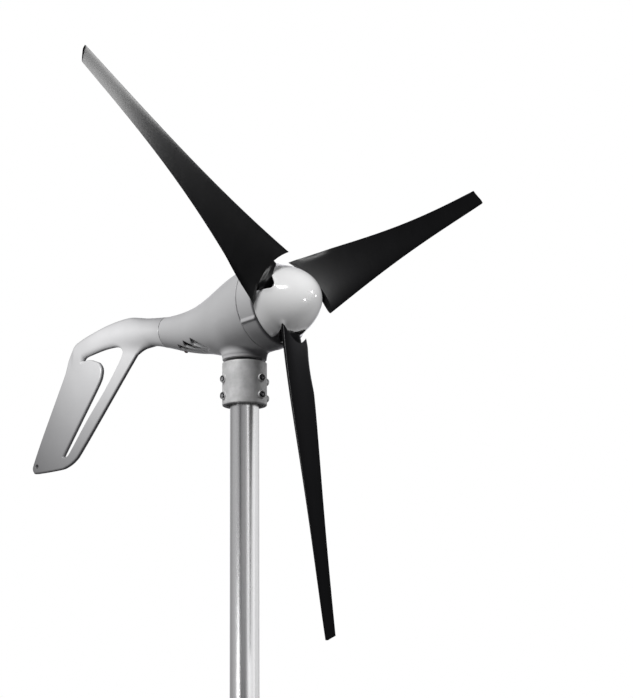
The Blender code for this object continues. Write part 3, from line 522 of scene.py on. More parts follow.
def body_distance(x, y, z):
    """Distance to the nacelle's outer skin, whose round sections lean over to the rotor's tilt."""
    station = x
    for _ in range(3):
        u = np.clip((station + 0.12) / 0.12, 0.0, 1.0)
        lean = TILT * u * u * (3 - 2 * u)
        height = np.interp(station, BODY_TABLE[0], BODY_TABLE[1])
        station = x + (z - height) * np.tan(lean)
    radius = np.interp(station, BODY_TABLE[0], BODY_TABLE[2])
    up = (z - height) / np.cos(lean)
    return (np.hypot(y, up) - radius) * 0.95


def slot_places(x, y, places):
    """Share of the way along a cooling slot, and distance beyond its sides, on whichever side y is."""
    (x1, y1), (x2, y2) = places
    length = math.hypot(x2 - x1, y2 - y1)
    along = ((x - x1) * (x2 - x1) + (np.abs(y) - y1) * (y2 - y1)) / length**2
    across = ((np.abs(y) - y1) * (x2 - x1) - (x - x1) * (y2 - y1)) / length
    width = SLOT_WIDTHS[0] + (SLOT_WIDTHS[1] - SLOT_WIDTHS[0]) * np.clip(along, 0, 1)
    ends = np.maximum(-along, along - 1) * length
    return along, smooth_max(np.abs(across) - width / 2, ends, 0.003)


def slot_fields(x, y, z, skin):
    """The cooling slots as one region, and the sloping floors that close their front ends."""
    slots, floors = np.full_like(x, 1.0), np.full_like(x, 1.0)
    for places in COOLING_SLOTS:
        along, side = slot_places(x, y, places)
        depth = SLOT_DEPTH * np.clip((SLOT_FLOOR_END - along) / SLOT_RAMP, 0.0, 1.0)
        slots = np.minimum(slots, smooth_max(side, -skin - depth, 0.002))
        floor = np.maximum(side - 0.0025, -skin - depth - 0.0025)
        floors = np.minimum(floors, np.maximum(floor, SLOT_FLOOR_START - along))
    below = z + 0.018
    return np.maximum(slots, below), np.maximum(floors, below)


def nacelle_field(x, y, z):
    skin = body_distance(x, y, z)
    s, w = along_axis(x, z)
    around = np.hypot(x, y)
    neck = around - np.interp(z, NECK_TABLE[0], NECK_TABLE[1])
    neck = smooth_max(np.maximum(neck, z + 0.02), NECK_BOTTOM - z, EDGE)
    slots, floors = slot_fields(x, y, z, skin)
    outside = smooth_max(smooth_min(skin, neck, NECK_FILLET), s - BODY_FRONT, EDGE)
    outside = smooth_max(outside, BODY_REAR - x, 0.0006)
    hollow = np.maximum(skin + BODY_WALL, -floors)
    boss = np.maximum(around - 0.0270, z + 0.045)
    web = np.abs(s - 0.0175) - 0.0035
    hollow = np.maximum(hollow, np.maximum(-boss, -web))
    hollow = np.minimum(hollow, np.maximum(around - YAW_BORE, z + 0.0415))
    from_axis = np.hypot(y, w)
    bearing = np.maximum(from_axis - BEARING_BORE, 0.0120 - s)
    hollow = np.minimum(hollow, np.maximum(bearing, s - 0.0300))
    hollow = np.minimum(hollow, np.maximum(from_axis - 0.0090, np.abs(s - 0.015) - 0.015))
    lens = np.hypot(x - LENS_PLACE[0], y - LENS_PLACE[1]) - LENS_RADIUS - GAP
    hollow = np.minimum(hollow, np.maximum(lens, z + 0.02))
    cut = np.minimum(hollow, smooth_max(slots, -1.0, EDGE))
    return smooth_max(outside, -cut, EDGE * 0.8)


def tail_field(x, y, z):
    height, tall, wide = (np.interp(x, BOOM_TABLE[0], BOOM_TABLE[i]) for i in (1, 2, 3))
    reach = np.hypot(y / wide, (z - height) / tall)
    boom = (reach - 1) * np.minimum(tall, wide)
    boom = smooth_max(boom, -0.4060 - x, 0.006)
    edge = np.maximum(TAIL_FIELD(x, z), -WINDOW_FIELD(x, z)) + TAIL_ROUNDING
    side = np.abs(y) - TAIL_THICKNESS / 2 + TAIL_ROUNDING
    corner = np.hypot(np.maximum(edge, 0), np.maximum(side, 0))
    plate = corner + np.minimum(np.maximum(edge, side), 0) - TAIL_ROUNDING
    shape = smooth_min(boom, plate, 0.016)
    shape = smooth_max(shape, x - BODY_REAR + GAP, 0.0006)
    spigot = np.maximum(np.hypot(y, z + 0.0053) - 0.0210, np.abs(x - BODY_REAR) - 0.0095)
    hole = np.hypot(x - TAIL_HOLE[0], z - TAIL_HOLE[1]) - TAIL_HOLE[2]
    return smooth_max(np.minimum(shape, spigot), -hole, 0.0012)


def cover_screw_places():
    return [(COVER_SCREW_CIRCLE * math.sin(a), COVER_SCREW_CIRCLE * math.cos(a))
            for a in (math.radians(60 + 120 * i) for i in range(3))]


def cover_field(x, y, z):
    s, w = along_axis(x, z)
    radius = np.hypot(y, w)
    share = (s - COVER_REAR) / (COVER_FRONT - COVER_REAR)
    outer = COVER_RADII[0] + (COVER_RADII[1] - COVER_RADII[0]) * share
    past = (np.arctan2(np.abs(y), w) - COVER_STEP_ANGLE) * COVER_RADII[1]
    rise = np.clip(past / 0.0060, 0, 1)
    fall = np.clip((past - 0.0060) / 0.0040, 0, 1)
    ridge = 0.0026 * rise * rise * (3 - 2 * rise) - 0.0018 * fall * fall * (3 - 2 * fall)
    shell = smooth_max(radius - outer - ridge, s - COVER_FRONT, 0.0026)
    shell = smooth_max(shell, COVER_REAR - s, EDGE)
    hollow = np.maximum(radius - outer + COVER_WALL, s - COVER_FRONT + COVER_WALL)
    boss = np.maximum(radius - 0.0210, 0.0655 - s)
    bore = np.maximum(radius - BEARING_BORE, s - COVER_FRONT + 0.0010)
    hole = radius - 0.0087
    bosses, holes = np.full_like(x, 1.0), np.full_like(x, 1.0)
    for place_y, place_w in cover_screw_places():
        away = np.hypot(y - place_y, w - place_w)
        bosses = np.minimum(bosses, away - 0.0048)
        well = np.maximum(away - 0.0040, COVER_FRONT - 0.005 - s)
        holes = np.minimum(holes, np.minimum(away - 0.0023, well))
    hollow = np.maximum(hollow, np.maximum(-boss, -bosses))
    cut = np.minimum(np.minimum(hollow, holes), np.minimum(bore, hole))
    return smooth_max(shell, -cut, 0.0010)


def ellipse_distance(s, radius, inset=0.0):
    length, across = NOSE_LENGTH - inset, NOSE_RADIUS - inset
    radius = radius - NOSE_FLARE * (np.maximum(NOSE_FLARE_START - s, 0) / NOSE_FLARE_LENGTH) ** 2
    reach = np.hypot((s - NOSE_CENTRE) / length, radius / across)
    slope = np.hypot((s - NOSE_CENTRE) / length**2, radius / across**2) / np.maximum(reach, 1e-6)
    return (reach - 1) / slope


def nose_field(s, side, out):
    """The nose cone in the frame of blade 1: along the axis, sideways and outwards."""
    radius = np.hypot(side, out)
    notch = np.full_like(s, 1.0)
    for i in range(BLADE_COUNT):
        angle = 2 * math.pi * i / BLADE_COUNT
        across = side * math.cos(angle) - out * math.sin(angle)
        outward = out * math.cos(angle) + side * math.sin(angle)
        notch = np.minimum(notch, np.maximum(NOTCH_FIELD(across, s), 0.020 - outward))
    lip = 0.0016 * np.exp(-((notch / 0.0040) ** 2)) * np.clip((s - 0.095) / 0.01, 0, 1)
    skin = ellipse_distance(s, radius) - lip
    shell = smooth_max(skin, NOSE_REAR - s, 0.0020)
    inner = np.maximum(ellipse_distance(s, radius, NOSE_WALL), NOSE_REAR + 0.0020 - s)
    rear_hole = np.maximum(radius - 0.0575, s - NOSE_REAR - 0.0030)
    cut = np.minimum(np.minimum(inner, rear_hole), notch)
    return smooth_max(shell, -cut, 0.0018)


def clamp_seats(middle):
    """Seat point and outward direction of the four screws of one clamp half."""
    seats = []
    for sign in (-1, 1):
        for row in SCREW_ROWS:
            spread, splay = middle + sign * SCREW_SPREAD, middle + sign * SCREW_SPLAY
            seat = Vector((COLLAR_RADIUS * math.cos(spread), COLLAR_RADIUS * math.sin(spread), row))
            seats.append((seat, Vector((math.cos(splay), math.sin(splay), 0.0))))
    return seats


def clamp_field(middle):
    def field(x, y, z):
        around = np.hypot(x, y)
        shell = smooth_max(around - COLLAR_RADIUS, z - COLLAR_TOP, 0.0020)
        shell = smooth_max(shell, COLLAR_BOTTOM - z, 0.0026)
        holes = np.full_like(x, 1.0)
        for seat, out in clamp_seats(middle):
            depth = (x - seat.x) * out.x + (y - seat.y) * out.y
            away = np.hypot(z - seat.z, (y - seat.y) * out.x - (x - seat.x) * out.y)
            boss = smooth_max(away - BOSS_RADIUS, depth - BOSS_HEIGHT, 0.0030)
            shell = smooth_min(shell, np.maximum(boss, -0.006 - depth), 0.0022)
            well = smooth_max(away - COUNTERBORE, 0.0008 - depth, 0.0008)
            holes = np.minimum(holes, np.minimum(well, np.maximum(away - SCREW_HOLE, -0.016 - depth)))
        bore = around - COLLAR_RADIUS + CLAMP_WALL
        pads = np.maximum(MAST_RADIUS + GAP - around, z - COLLAR_TOP + 0.016)
        facing = np.abs(np.arctan2(y * math.cos(middle) - x * math.sin(middle),
                                   x * math.cos(middle) + y * math.sin(middle)))
        pads = np.maximum(pads, (facing - math.radians(36)) * 0.028)
        chamfer = MAST_RADIUS + 0.0042 - around - np.maximum(z - COLLAR_BOTTOM, 0) * 0.8
        pads = np.maximum(pads, chamfer)
        cut = np.minimum(np.maximum(bore, -pads), holes)
        facing_out = x * math.cos(middle) + y * math.sin(middle)
        return smooth_max(smooth_max(shell, -cut, 0.0008), 0.0004 - facing_out, 0.0008)

    return field


# ---- meshes -------------------------------------------------------------------------------------
BLOCK = 4


def surface(field, low, high, step):
    """Points and quads of the surface where a field is zero: surface nets over a grid of cells."""
    low = np.array(low, float)
    blocks = np.ceil((np.array(high, float) - low) / (step * BLOCK)).astype(int)
    spans = [step * BLOCK * (np.arange(count) + 0.5) for count in blocks]
    middles = np.meshgrid(*[low[i] + spans[i] for i in range(3)], indexing="ij")
    near = np.abs(field(*[m.ravel() for m in middles])).reshape(blocks) < step * BLOCK * 1.35
    cells = near.repeat(BLOCK, 0).repeat(BLOCK, 1).repeat(BLOCK, 2)
    corners = np.zeros(np.array(cells.shape) + 1, bool)
    shifts = [(i, j, k) for i in (0, 1) for j in (0, 1) for k in (0, 1)]
    for i, j, k in shifts:
        corners[i : i + cells.shape[0], j : j + cells.shape[1], k : k + cells.shape[2]] |= cells
    places = np.argwhere(corners)
    values = np.full(corners.shape, 1.0)
    values[corners] = field(*(low + places * step).T)
    inside = values < 0
    base = np.argwhere(cells)
    at = np.stack([values[tuple((base + shift).T)] for shift in shifts], 1)
    mixed = ((at < 0).any(1)) & ((at >= 0).any(1))
    base, at = base[mixed], at[mixed]
    total, hits = np.zeros((len(base), 3)), np.zeros(len(base))
    for a in range(8):
        for b in range(a + 1, 8):
            if sum(abs(p - q) for p, q in zip(shifts[a], shifts[b])) != 1:
                continue
            crossed = (at[:, a] < 0) != (at[:, b] < 0)
            share = np.where(crossed, at[:, a] / np.where(crossed, at[:, a] - at[:, b], 1.0), 0.0)
            place = np.array(shifts[a]) + share[:, None] * (np.array(shifts[b]) - np.array(shifts[a]))
            total += place * crossed[:, None]
            hits += crossed
    points = low + (base + total / hits[:, None]) * step
    number = np.full(cells.shape, -1)
    number[tuple(base.T)] = np.arange(len(base))
    quads = []
    for axis in range(3):
        u, v = np.eye(3, dtype=int)[(axis + 1) % 3], np.eye(3, dtype=int)[(axis + 2) % 3]
        step_on = np.eye(3, dtype=int)[axis]
        here = np.argwhere(corners)
        here = here[(here + step_on < corners.shape).all(1) & (here - u - v >= 0).all(1)]
        here = here[(here < cells.shape).all(1)]
        starts, ends = inside[tuple(here.T)], inside[tuple((here + step_on).T)]
        here, starts = here[starts != ends], starts[starts != ends]
        quad = np.stack([number[tuple((here - shift).T)] for shift in (0 * u, u, u + v, v)], 1)
        quad[~starts] = quad[~starts][:, ::-1]
        quads.append(quad[(quad >= 0).all(1)])
    quads = np.vstack(quads)
    points = settle(field, relax(points, quads), step)
    return settle(field, relax(points, quads), step), quads


def relax(points, quads):
    """Each point half way to the middle of its neighbours."""
    total, hits = np.zeros_like(points), np.zeros(len(points))
    for i in range(4):
        a, b = quads[:, i], quads[:, (i + 1) % 4]
        for p, q in ((a, b), (b, a)):
            hits += np.bincount(p, minlength=len(points))
            for axis in range(3):
                total[:, axis] += np.bincount(p, points[q, axis], len(points))
    return 0.5 * points + 0.5 * total / np.maximum(hits, 1)[:, None]


def slope(field, points, reach=0.0002):
    found = []
    for axis in np.eye(3):
        found.append((field(*(points + reach * axis).T) - field(*(points - reach * axis).T)) / (2 * reach))
    return np.stack(found, 1)


def settle(field, points, step, rounds=3):
    """Points moved onto the surface, each by at most a step."""
    points = points.copy()
    for _ in range(rounds):
        uphill = slope(field, points)
        steep = np.maximum((uphill**2).sum(1), 0.05)
        move = -(field(*points.T) / steep)[:, None] * uphill
        length = np.maximum(np.linalg.norm(move, axis=1), 1e-12)
        points += move * np.minimum(1.0, step / length)[:, None]
    return points


def make_object(name, points, faces, material):
    mesh = bpy.data.meshes.new(name)
    mesh.from_pydata([tuple(p) for p in points], [], [tuple(f) for f in faces])
    mesh.update()
    mesh.shade_smooth()
    mesh.materials.append(material)
    made = bpy.data.objects.new(name, mesh)
    bpy.context.scene.collection.objects.link(made)
    return made


def field_piece(name, field, low, high, step, material):
    points, quads = surface(field, low, high, step)
    made = make_object(name, points.tolist(), quads.tolist(), material)
    normals = slope(field, points)
    normals /= np.maximum(np.linalg.norm(normals, axis=1), 1e-9)[:, None]
    made.data.normals_split_custom_set_from_vertices(normals.tolist())
    return made


def place(made, matrix, body, slot_name, *nodes):
    """Puts a piece in the frame, on its body, standing for its CAD nodes."""
    made.data.transform(matrix)
    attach(made, body)
    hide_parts(*nodes)
    return made


def lathe(profile, count):
    """Points and quads of a closed profile of (radius, height) turned about Z."""
    points, faces = [], []
    for i in range(count):
        angle = 2 * math.pi * i / count
        points += [(r * math.cos(angle), r * math.sin(angle), z) for r, z in profile]
    size = len(profile)
    for i in range(count):
        for j in range(size):
            a, b = i * size, ((i + 1) % count) * size
            faces.append((a + j, b + j, b + (j + 1) % size, a + (j + 1) % size))
    return points, faces


AT_HUB = Matrix.Translation(HUB)
TILTED = AT_HUB @ Matrix.Rotation(-TILT, 4, "Y")
SPIN = TILTED @ Matrix.Rotation(-REST_AZIMUTH, 4, "X")


# ---- castings -----------------------------------------------------------------------------------
def casting(name, field, low, high, step, matrix, body, slot_name, node):
    made = field_piece(name, field, low, high, step, MATERIALS[slot_name])
    place(made, matrix, body, slot_name, node)


def castings():
    casting("nacelle_shell", nacelle_field, (-0.182, -0.080, -0.085), (0.060, 0.080, 0.085), 0.0014,
            AT_HUB, "nacelle", "satin_paint", "nacelle_body")
    casting("tail_fin", tail_field, (-0.522, -0.032, -0.224), (-0.160, 0.032, 0.040), 0.0014,
            AT_HUB, "nacelle", "satin_paint", "tail_casting")
    casting("front_cover_shell", cover_field, (0.035, -0.080, -0.080), (0.090, 0.080, 0.085), 0.0013,
            AT_HUB, "nacelle", "satin_paint", "front_cover")
    casting("nose_shell", nose_field, (0.074, -0.076, -0.076), (0.164, 0.076, 0.076), 0.0012,
            SPIN, "rotor", "gloss_plastic", "nose_cone")
    for side, turn in (("front", 0.0), ("rear", math.pi)):
        field = clamp_field(CLAMP_AZIMUTH + turn)
        casting(f"clamp_half_{side}", field, (-0.047, -0.047, -0.162), (0.047, 0.047, -0.078), 0.0011,
                AT_HUB, "root", "sand_cast_aluminium", f"clamp_{side}")


def clamp_screws():
    """Cap screws sunk in their bosses: blackened heads, with bright steel round and inside the socket as a
    painted highlight.
    """
    # The bright steel ring round the socket, the socket's walls and its floor paint the glint at each head's
    # centre.
    top, floor, head, painted_highlight_radius, socket = 0.0040, 0.0026, 0.0036, 0.0024, 0.0018
    profile = ((0.0029, -0.0120), (0.0029, 0.0010), (head, 0.0010), (head, top - 0.0005),
               (head - 0.0005, top), (painted_highlight_radius, top))
    angles = [2 * math.pi * i / 36 for i in range(36)]
    hexagon = [socket * math.cos(math.pi / 6) / math.cos(a % (math.pi / 3) - math.pi / 6) for a in angles]
    rows = [([radius] * 36, height) for radius, height in profile] + [(hexagon, top), (hexagon, floor)]
    seats = [seat for turn in (0.0, math.pi) for seat in clamp_seats(CLAMP_AZIMUTH + turn)]
    for number, (seat, out) in enumerate(seats, 1):
        bm = bmesh.new()
        rings = []
        for radii, height in rows:
            points = [(r * math.cos(a), r * math.sin(a), height) for r, a in zip(radii, angles)]
            rings.append([bm.verts.new(p) for p in points])
        for row, (near, far) in enumerate(zip(rings, rings[1:])):
            for i in range(36):
                face = bm.faces.new((near[i - 1], near[i], far[i], far[i - 1]))
                # Faces from the bright ring inwards take bright steel: a painted highlight.
                face.material_index = int(row >= len(profile) - 1)
        bm.faces.new(rings[0][::-1])
        bm.faces.new(rings[-1]).material_index = 1
        bmesh.ops.recalc_face_normals(bm, faces=bm.faces)
        mesh = bpy.data.meshes.new(f"clamp_cap_screw_{number}")
        bm.to_mesh(mesh)
        bm.free()
        mesh.shade_smooth()
        mesh.set_sharp_from_angle(angle=math.radians(35))
        mesh.materials.append(MATERIALS["blackened_steel"])
        mesh.materials.append(MATERIALS["screw_steel"])
        screw = bpy.data.objects.new(mesh.name, mesh)
        bpy.context.scene.collection.objects.link(screw)
        turned_out = out.to_track_quat("Z", "X").to_matrix().to_4x4()
        at_seat = AT_HUB @ Matrix.Translation(seat) @ turned_out
        place(screw, at_seat, "root", "screw_steel", f"clamp_screw_{number}")


def mast():
    foot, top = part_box("mast_tube")[0].z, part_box("mast_tube")[1].z
    inner, edge = MAST_RADIUS - MAST_WALL, 0.0006
    rows = [(MAST_RADIUS, foot + edge + (top - foot - 2 * edge) * i / 8) for i in range(9)]
    profile = [(inner + edge, foot), (MAST_RADIUS - edge, foot), *rows, (MAST_RADIUS - edge, top),
               (inner + edge, top), (inner, top - edge), (inner, foot + edge)]
    points, faces = lathe(profile, 128)
    tube = make_object("mast_pipe", points, faces, MATERIALS["mast_steel"])
    tube.data.set_sharp_from_angle(angle=math.radians(40))
    place(tube, Matrix.Identity(4), "root", "mast_steel", "mast_tube")


def status_lens():
    quarter = np.linspace(0, math.pi / 2, 9)[1:]
    rows = [(LENS_RADIUS * math.sin(a), 0.0026 * (1 - math.cos(a))) for a in quarter]
    profile = [*rows, (LENS_RADIUS, 0.0110), (0.0001, 0.0110), (0.0001, 0.0)]
    points, faces = lathe(profile, 32)
    lens = make_object("lens_dome", points, faces, MATERIALS["lens"])
    lens.data.set_sharp_from_angle(angle=math.radians(50))
    place(lens, AT_HUB @ Matrix.Translation(LENS_PLACE), "nacelle", "lens", "status_lens")


# ---- blades -------------------------------------------------------------------------------------
def blade_numbers():
    rows = np.array(BLADE_STATIONS)
    return np.polyfit(rows[:, 0] / ROTOR_RADIUS, rows[:, 1:], 4)


BLADE_FIT = blade_numbers()


def blade_point(radius, c, face):
    """A point of the blade: radius, share of the chord from the leading edge, 1 upwind or -1 downwind."""
    share = radius / ROTOR_RADIUS
    chord, twist, lead_side, lead_up = (float(np.polyval(column, share)) for column in BLADE_FIT.T)
    thickness = 0.115 - 0.02 * share
    profile = 0.2969 * math.sqrt(c) - 0.1260 * c - 0.3516 * c**2 + 0.2843 * c**3 - 0.0986 * c**4
    half = 5 * thickness * profile
    bend = -BLADE_CAMBER * 4 * c * (1 - c)
    turn = math.radians(twist)
    along, across = (-math.sin(turn), -math.cos(turn)), (math.cos(turn), -math.sin(turn))
    turned_down = math.sin(math.pi * min(max((radius - 0.068) / 0.085, 0.0), 1.0))
    bend -= 0.026 * turned_down * (max(c - 0.89, 0.0) / 0.11) ** 2
    lift = (bend + face * half) * chord
    up = lead_up + along[0] * c * chord + across[0] * lift
    side = lead_side + along[1] * c * chord + across[1] * lift
    return Vector((up, side, radius))


def blade_mesh():
    """The aerofoil with its inner edge on an arc about the axis, closed at both ends; blades() adds the root
    it grows from.
    """
    spans, chords = 90, 40
    shares = [0.5 - 0.5 * math.cos(math.pi * i / chords) for i in range(chords + 1)]
    loop = [(c, 1) for c in shares] + [(c, -1) for c in reversed(shares[1:-1])]
    bm = bmesh.new()
    rings = []
    for i in range(spans + 1):
        u = i / spans
        ring = []
        for c, face in loop:
            side = blade_point(0.08, c, face).y
            start = math.sqrt(max(BLADE_ROOT_ARC**2 - min(abs(side), 0.066) ** 2, 0.0))
            end = ROTOR_RADIUS - 0.010 * max(c - 0.25, 0) - (0.002 if c < 0.02 else 0.0)
            if i == spans:
                end -= 0.0025 + 6 * 0.015 * c * 0.028
            ring.append(blade_point(start + (end - start) * u, c, face))
        rings.append(ring)
    inner = [point.copy() for point in rings[0]]
    middle_inner = [(inner[j] + inner[-j if j else 0]) / 2 for j in range(len(inner))]
    rounded = [p + Vector((0, 0, -0.0008)) for p in inner]
    rounded = [r.lerp(m, 0.25) for r, m in zip(rounded, middle_inner)]
    rings.insert(0, rounded)
    tip = [p.copy() for p in rings[-1]]
    middle_tip = [(tip[j] + tip[-j if j else 0]) / 2 for j in range(len(tip))]
    rings.append([p.lerp(m, 0.35) + Vector((0, 0, 0.0007)) for p, m in zip(tip, middle_tip)])
    verts = [[bm.verts.new(p) for p in ring] for ring in rings]
    for near, far in zip(verts, verts[1:]):
        for j in range(len(loop)):
            bm.faces.new((near[j - 1], near[j], far[j], far[j - 1]))
    for ring in (verts[0], verts[-1]):
        for j in range(1, chords):
            a, b = ring[j], ring[-j]
            c, d = ring[j + 1], ring[-j - 1] if j + 1 < chords else ring[chords]
            if j == 1:
                bm.faces.new((ring[0], a, b))
            if c is d:
                bm.faces.new((a, c, b))
            else:
                bm.faces.new((a, c, d, b))
    bmesh.ops.recalc_face_normals(bm, faces=bm.faces)
    return bm


def blade_plane(side, radius):
    """Upwind place of the blade's chord plane."""
    share = radius / ROTOR_RADIUS
    _, twist, lead_side, lead_up = (np.polyval(column, share) for column in BLADE_FIT.T)
    return lead_up - (lead_side - side) * np.tan(np.radians(twist))


def root_field(x, y, z):
    """Blade root in the blade's frame (upwind, sideways, outwards): domed, flat-seated, ribbed behind."""
    middle, half = (SHANK[0] + SHANK[1]) / 2, (SHANK[1] - SHANK[0]) / 2
    seat = HUB_PLATE_FRONT + GAP
    swell = np.interp(z, (0.024, 0.042, 0.052, 0.060, 0.067, 0.072, 0.076),
                      (0.0100, 0.0125, 0.0170, 0.0190, 0.0175, 0.0130, 0.0050))
    across = (y - middle) / half
    up = (x - seat) / (swell + 0.14 * (y - middle))
    dome = ((np.abs(across) ** 2.4 + np.abs(up) ** 2.2) ** (1 / 2.3) - 1) * 0.012
    dome = smooth_max(dome, seat - x, 0.0015)
    dome = smooth_max(dome, np.maximum(0.0242 - z, z - 0.0760), 0.0040)
    web = np.abs(x - blade_plane(y, z) + 0.0055) - 0.0045
    width = half * np.interp(z, (0.060, 0.078, 0.105), (1.2, 1.2, 0.3))
    web = smooth_max(web, np.abs(y - middle) - width, 0.0040)
    web = smooth_max(web, np.maximum(0.0600 - z, z - 0.1050), 0.0040)
    shape = smooth_min(dome, web, 0.0060)
    wells = np.full_like(x, 1.0)
    for radius in BLADE_SCREW_RADII:
        away = np.hypot(y - middle, z - radius)
        wells = np.minimum(wells, np.minimum(away - 0.0033, np.maximum(away - 0.0056, seat + 0.009 - x)))
    return smooth_max(shape, -wells, 0.0010)


def blades():
    bm = blade_mesh()
    points, quads = surface(root_field, (0.086, -0.030, 0.020), (0.128, 0.022, 0.108), 0.0012)
    verts = [bm.verts.new(p) for p in points.tolist()]
    for quad in quads.tolist():
        bm.faces.new([verts[i] for i in quad])
    template = bpy.data.meshes.new("blade_template")
    bm.to_mesh(template)
    bm.free()
    template.shade_smooth()
    template.set_sharp_from_angle(angle=math.radians(50))
    template.materials.append(MATERIALS["blade_plastic"])
    for i in range(BLADE_COUNT):
        blade = bpy.data.objects.new(f"blade_moulding_{i + 1}", template.copy())
        bpy.context.scene.collection.objects.link(blade)
        turn = Matrix.Rotation(-2 * math.pi * i / BLADE_COUNT, 4, "X")
        place(blade, SPIN @ turn, "rotor", "blade_plastic", f"blade_{i + 1}")
    bpy.data.meshes.remove(template)


# ---- carried-over CAD nodes -----------------------------------------------------------------------
def finish_cad_nodes():
    """Each CAD node that still shows takes the material of its slot in the record."""
    slots = {row["node"]: row["material_slot"] for row in frame["record"]["subparts"]}
    for name, node in frame["nodes"].items():
        node.data.materials.clear()
        node.data.materials.append(MATERIALS[slots[name]])


# ---- stage ----------------------------------------------------------------------------------------
def area_light(name, place_at, aim, size, power, spread, receivers, reflected=True):
    """A softbox that lights only the pieces whose names start with one of the receivers."""
    data = bpy.data.lights.new(name, "AREA")
    data.shape = "RECTANGLE"
    data.size, data.size_y = size
    data.energy = power
    data.spread = math.radians(spread)
    light = bpy.data.objects.new(name, data)
    bpy.context.scene.collection.objects.link(light)
    light.location = HUB + Vector(place_at)
    light.rotation_euler = (Vector(aim) - Vector(place_at)).to_track_quat("-Z", "Y").to_euler()
    light.visible_camera = False
    light.visible_glossy = reflected
    lit = bpy.data.collections.new(name)
    for piece in bpy.context.scene.objects:
        if piece.type == "MESH" and piece.name.startswith(receivers):
            lit.objects.link(piece)
    light.light_linking.receiver_collection = lit


def floor():
    bm = bmesh.new()
    bmesh.ops.create_grid(bm, x_segments=8, y_segments=8, size=6.0)
    mesh = bpy.data.meshes.new("studio_floor")
    bm.to_mesh(mesh)
    bm.free()
    m = Shader("pale_floor", (0.80, 0.80, 0.80), 0.6)
    m.vary_colour(m.noise(1.5, 3.0), 0.02)
    mesh.materials.append(m.material)
    made = bpy.data.objects.new("studio_floor", mesh)
    bpy.context.scene.collection.objects.link(made)
    made.location = (0, 0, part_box("mast_tube")[0].z - 0.0005)
    made.visible_diffuse = False
    made.visible_glossy = False


def fade(tree, value, start, end, low, high):
    made = tree.nodes.new("ShaderNodeMapRange")
    made.interpolation_type = "SMOOTHSTEP"
    tree.links.new(value, made.inputs["Value"])
    for socket, number in zip(list(made.inputs)[1:5], (start, end, low, high)):
        socket.default_value = number
    return made.outputs["Result"]


def world():
    """White behind the object; grey all round for reflections, brighter above and straight behind."""
    made = bpy.data.worlds.new("studio")
    bpy.context.scene.world = made
    made.use_nodes = True
    tree = made.node_tree
    nodes, links = tree.nodes, tree.links
    seen, lit = nodes["Background"], nodes.new("ShaderNodeBackground")
    seen.inputs["Color"].default_value = (1.0, 1.0, 1.0, 1.0)
    lit.inputs["Color"].default_value = (0.95, 0.94, 1.0, 1.0)
    where, apart, behind = (nodes.new(kind) for kind in (
        "ShaderNodeTexCoord", "ShaderNodeSeparateXYZ", "ShaderNodeVectorMath"))
    links.new(where.outputs["Generated"], apart.inputs[0])
    links.new(where.outputs["Generated"], behind.inputs[0])
    behind.operation = "DOT_PRODUCT"
    behind.inputs[1].default_value = FORWARD
    total = nodes.new("ShaderNodeMath")
    links.new(fade(tree, apart.outputs["Z"], -0.25, 0.85, SKY_BELOW, SKY_ABOVE), total.inputs[0])
    links.new(fade(tree, behind.outputs["Value"], 0.86, 1.0, 0.0, SKY_BEHIND), total.inputs[1])
    links.new(total.outputs[0], lit.inputs["Strength"])
    path, mix = nodes.new("ShaderNodeLightPath"), nodes.new("ShaderNodeMixShader")
    links.new(path.outputs["Is Camera Ray"], mix.inputs["Fac"])
    links.new(lit.outputs["Background"], mix.inputs[1])
    links.new(seen.outputs["Background"], mix.inputs[2])
    links.new(mix.outputs["Shader"], nodes["World Output"].inputs["Surface"])


def camera():
    """From below the hub, looking up past the nose."""
    right = Vector((-math.sin(CAMERA_AZIMUTH), math.cos(CAMERA_AZIMUTH), 0.0))
    up = right.cross(FORWARD)
    cosine, sine = math.cos(CAMERA_ROLL), math.sin(CAMERA_ROLL)
    right, up = right * cosine + up * sine, up * cosine - right * sine
    data = bpy.data.cameras.new("photo_camera")
    data.sensor_width = CAMERA_SENSOR
    data.lens = CAMERA_LENS
    made = bpy.data.objects.new("photo_camera", data)
    bpy.context.scene.collection.objects.link(made)
    turn = Matrix((right, up, -FORWARD)).transposed().to_4x4()
    made.matrix_world = Matrix.Translation(HUB + Vector(CAMERA_PLACE)) @ turn
    bpy.context.scene.camera = made
    bpy.context.scene.view_settings.view_transform = "Standard"


def around(angle, distance, height):
    """A place about the hub: degrees to the right of the camera, distance out and height."""
    turn = CAMERA_AZIMUTH + math.radians(angle)
    return distance * math.cos(turn), distance * math.sin(turn), height


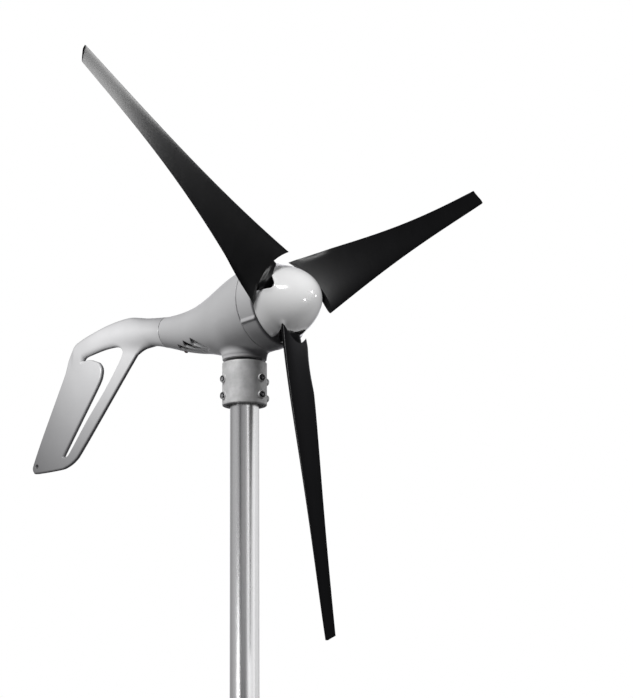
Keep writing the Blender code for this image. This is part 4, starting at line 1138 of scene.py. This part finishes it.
def lights():
    """A broad key from upper left, panels all round for the metal, and small lamps that the nose mirrors."""
    hub, mast_middle = (0.0, 0.0, 0.0), (0.0, 0.0, -0.4)
    tail, blade, nose, metal = ("tail_fin",), ("blade_moulding",), ("nose_shell",), ("mast_pipe", "clamp")
    others = tuple(o.name for o in bpy.context.scene.objects
                   if o.type == "MESH" and not o.name.startswith((*tail, *nose, "mast_pipe", *blade)))
    area_light("key_softbox", around(-48, 2.3, 1.9), hub, (1.2, 1.1), 74.0, 180, others)
    area_light("nose_softbox", around(-22, 2.2, 1.9), hub, (1.1, 1.0), 66.0, 180, nose, False)
    area_light("rear_softbox", around(-95, 1.6, -0.1),
               (-0.10, 0.0, 0.0), (0.5, 0.3), 4.2, 120, others, False)
    area_light("tail_softbox", (-0.38, -0.45, 0.06), (-0.30, 0.0, 0.0), (0.16, 0.12), 0.76, 89, tail)
    area_light("blade_softbox", (0.48, 0.02, 0.56), (0.0, -0.46, 0.32), (0.30, 0.26), 1.6, 120, blade)
    area_light("floor_glow", (0.00, 0.10, -1.30), (0.0, 0.0, 0.0), (1.4, 0.7), 14.0, 180, blade)
    area_light("root_lamp", around(-12, 2.4, -0.2), hub, (0.5, 1.0), 4.0, 180, blade)
    area_light("sheen_softbox", (0.62, 0.70, 1.26), (0.1, 0.1, 0.05), (0.30, 0.30), 2.0, 120, blade)
    area_light("knuckle_lamp", (1.25, 0.04, 0.26), (0.10, -0.06, 0.04), (0.30, 0.45), 2.2, 120, blade)
    area_light("nose_fill", around(62, 2.0, 0.1), hub, (1.2, 1.2), 19.0, 180, nose, False)
    for number, (angle, height, size, power) in enumerate(METAL_PANELS):
        place_at = around(angle, 2.6, height)
        area_light(f"metal_panel_{number + 1}", place_at, mast_middle, size, power, 180, metal)
    for number, (spot, size, power) in enumerate(NOSE_LAMPS):
        area_light(f"nose_lamp_{number + 1}", spot, hub, size, power, 180, nose)


castings()
clamp_screws()
mast()
status_lens()
blades()
finish_cad_nodes()
floor()
world()
lights()
camera()
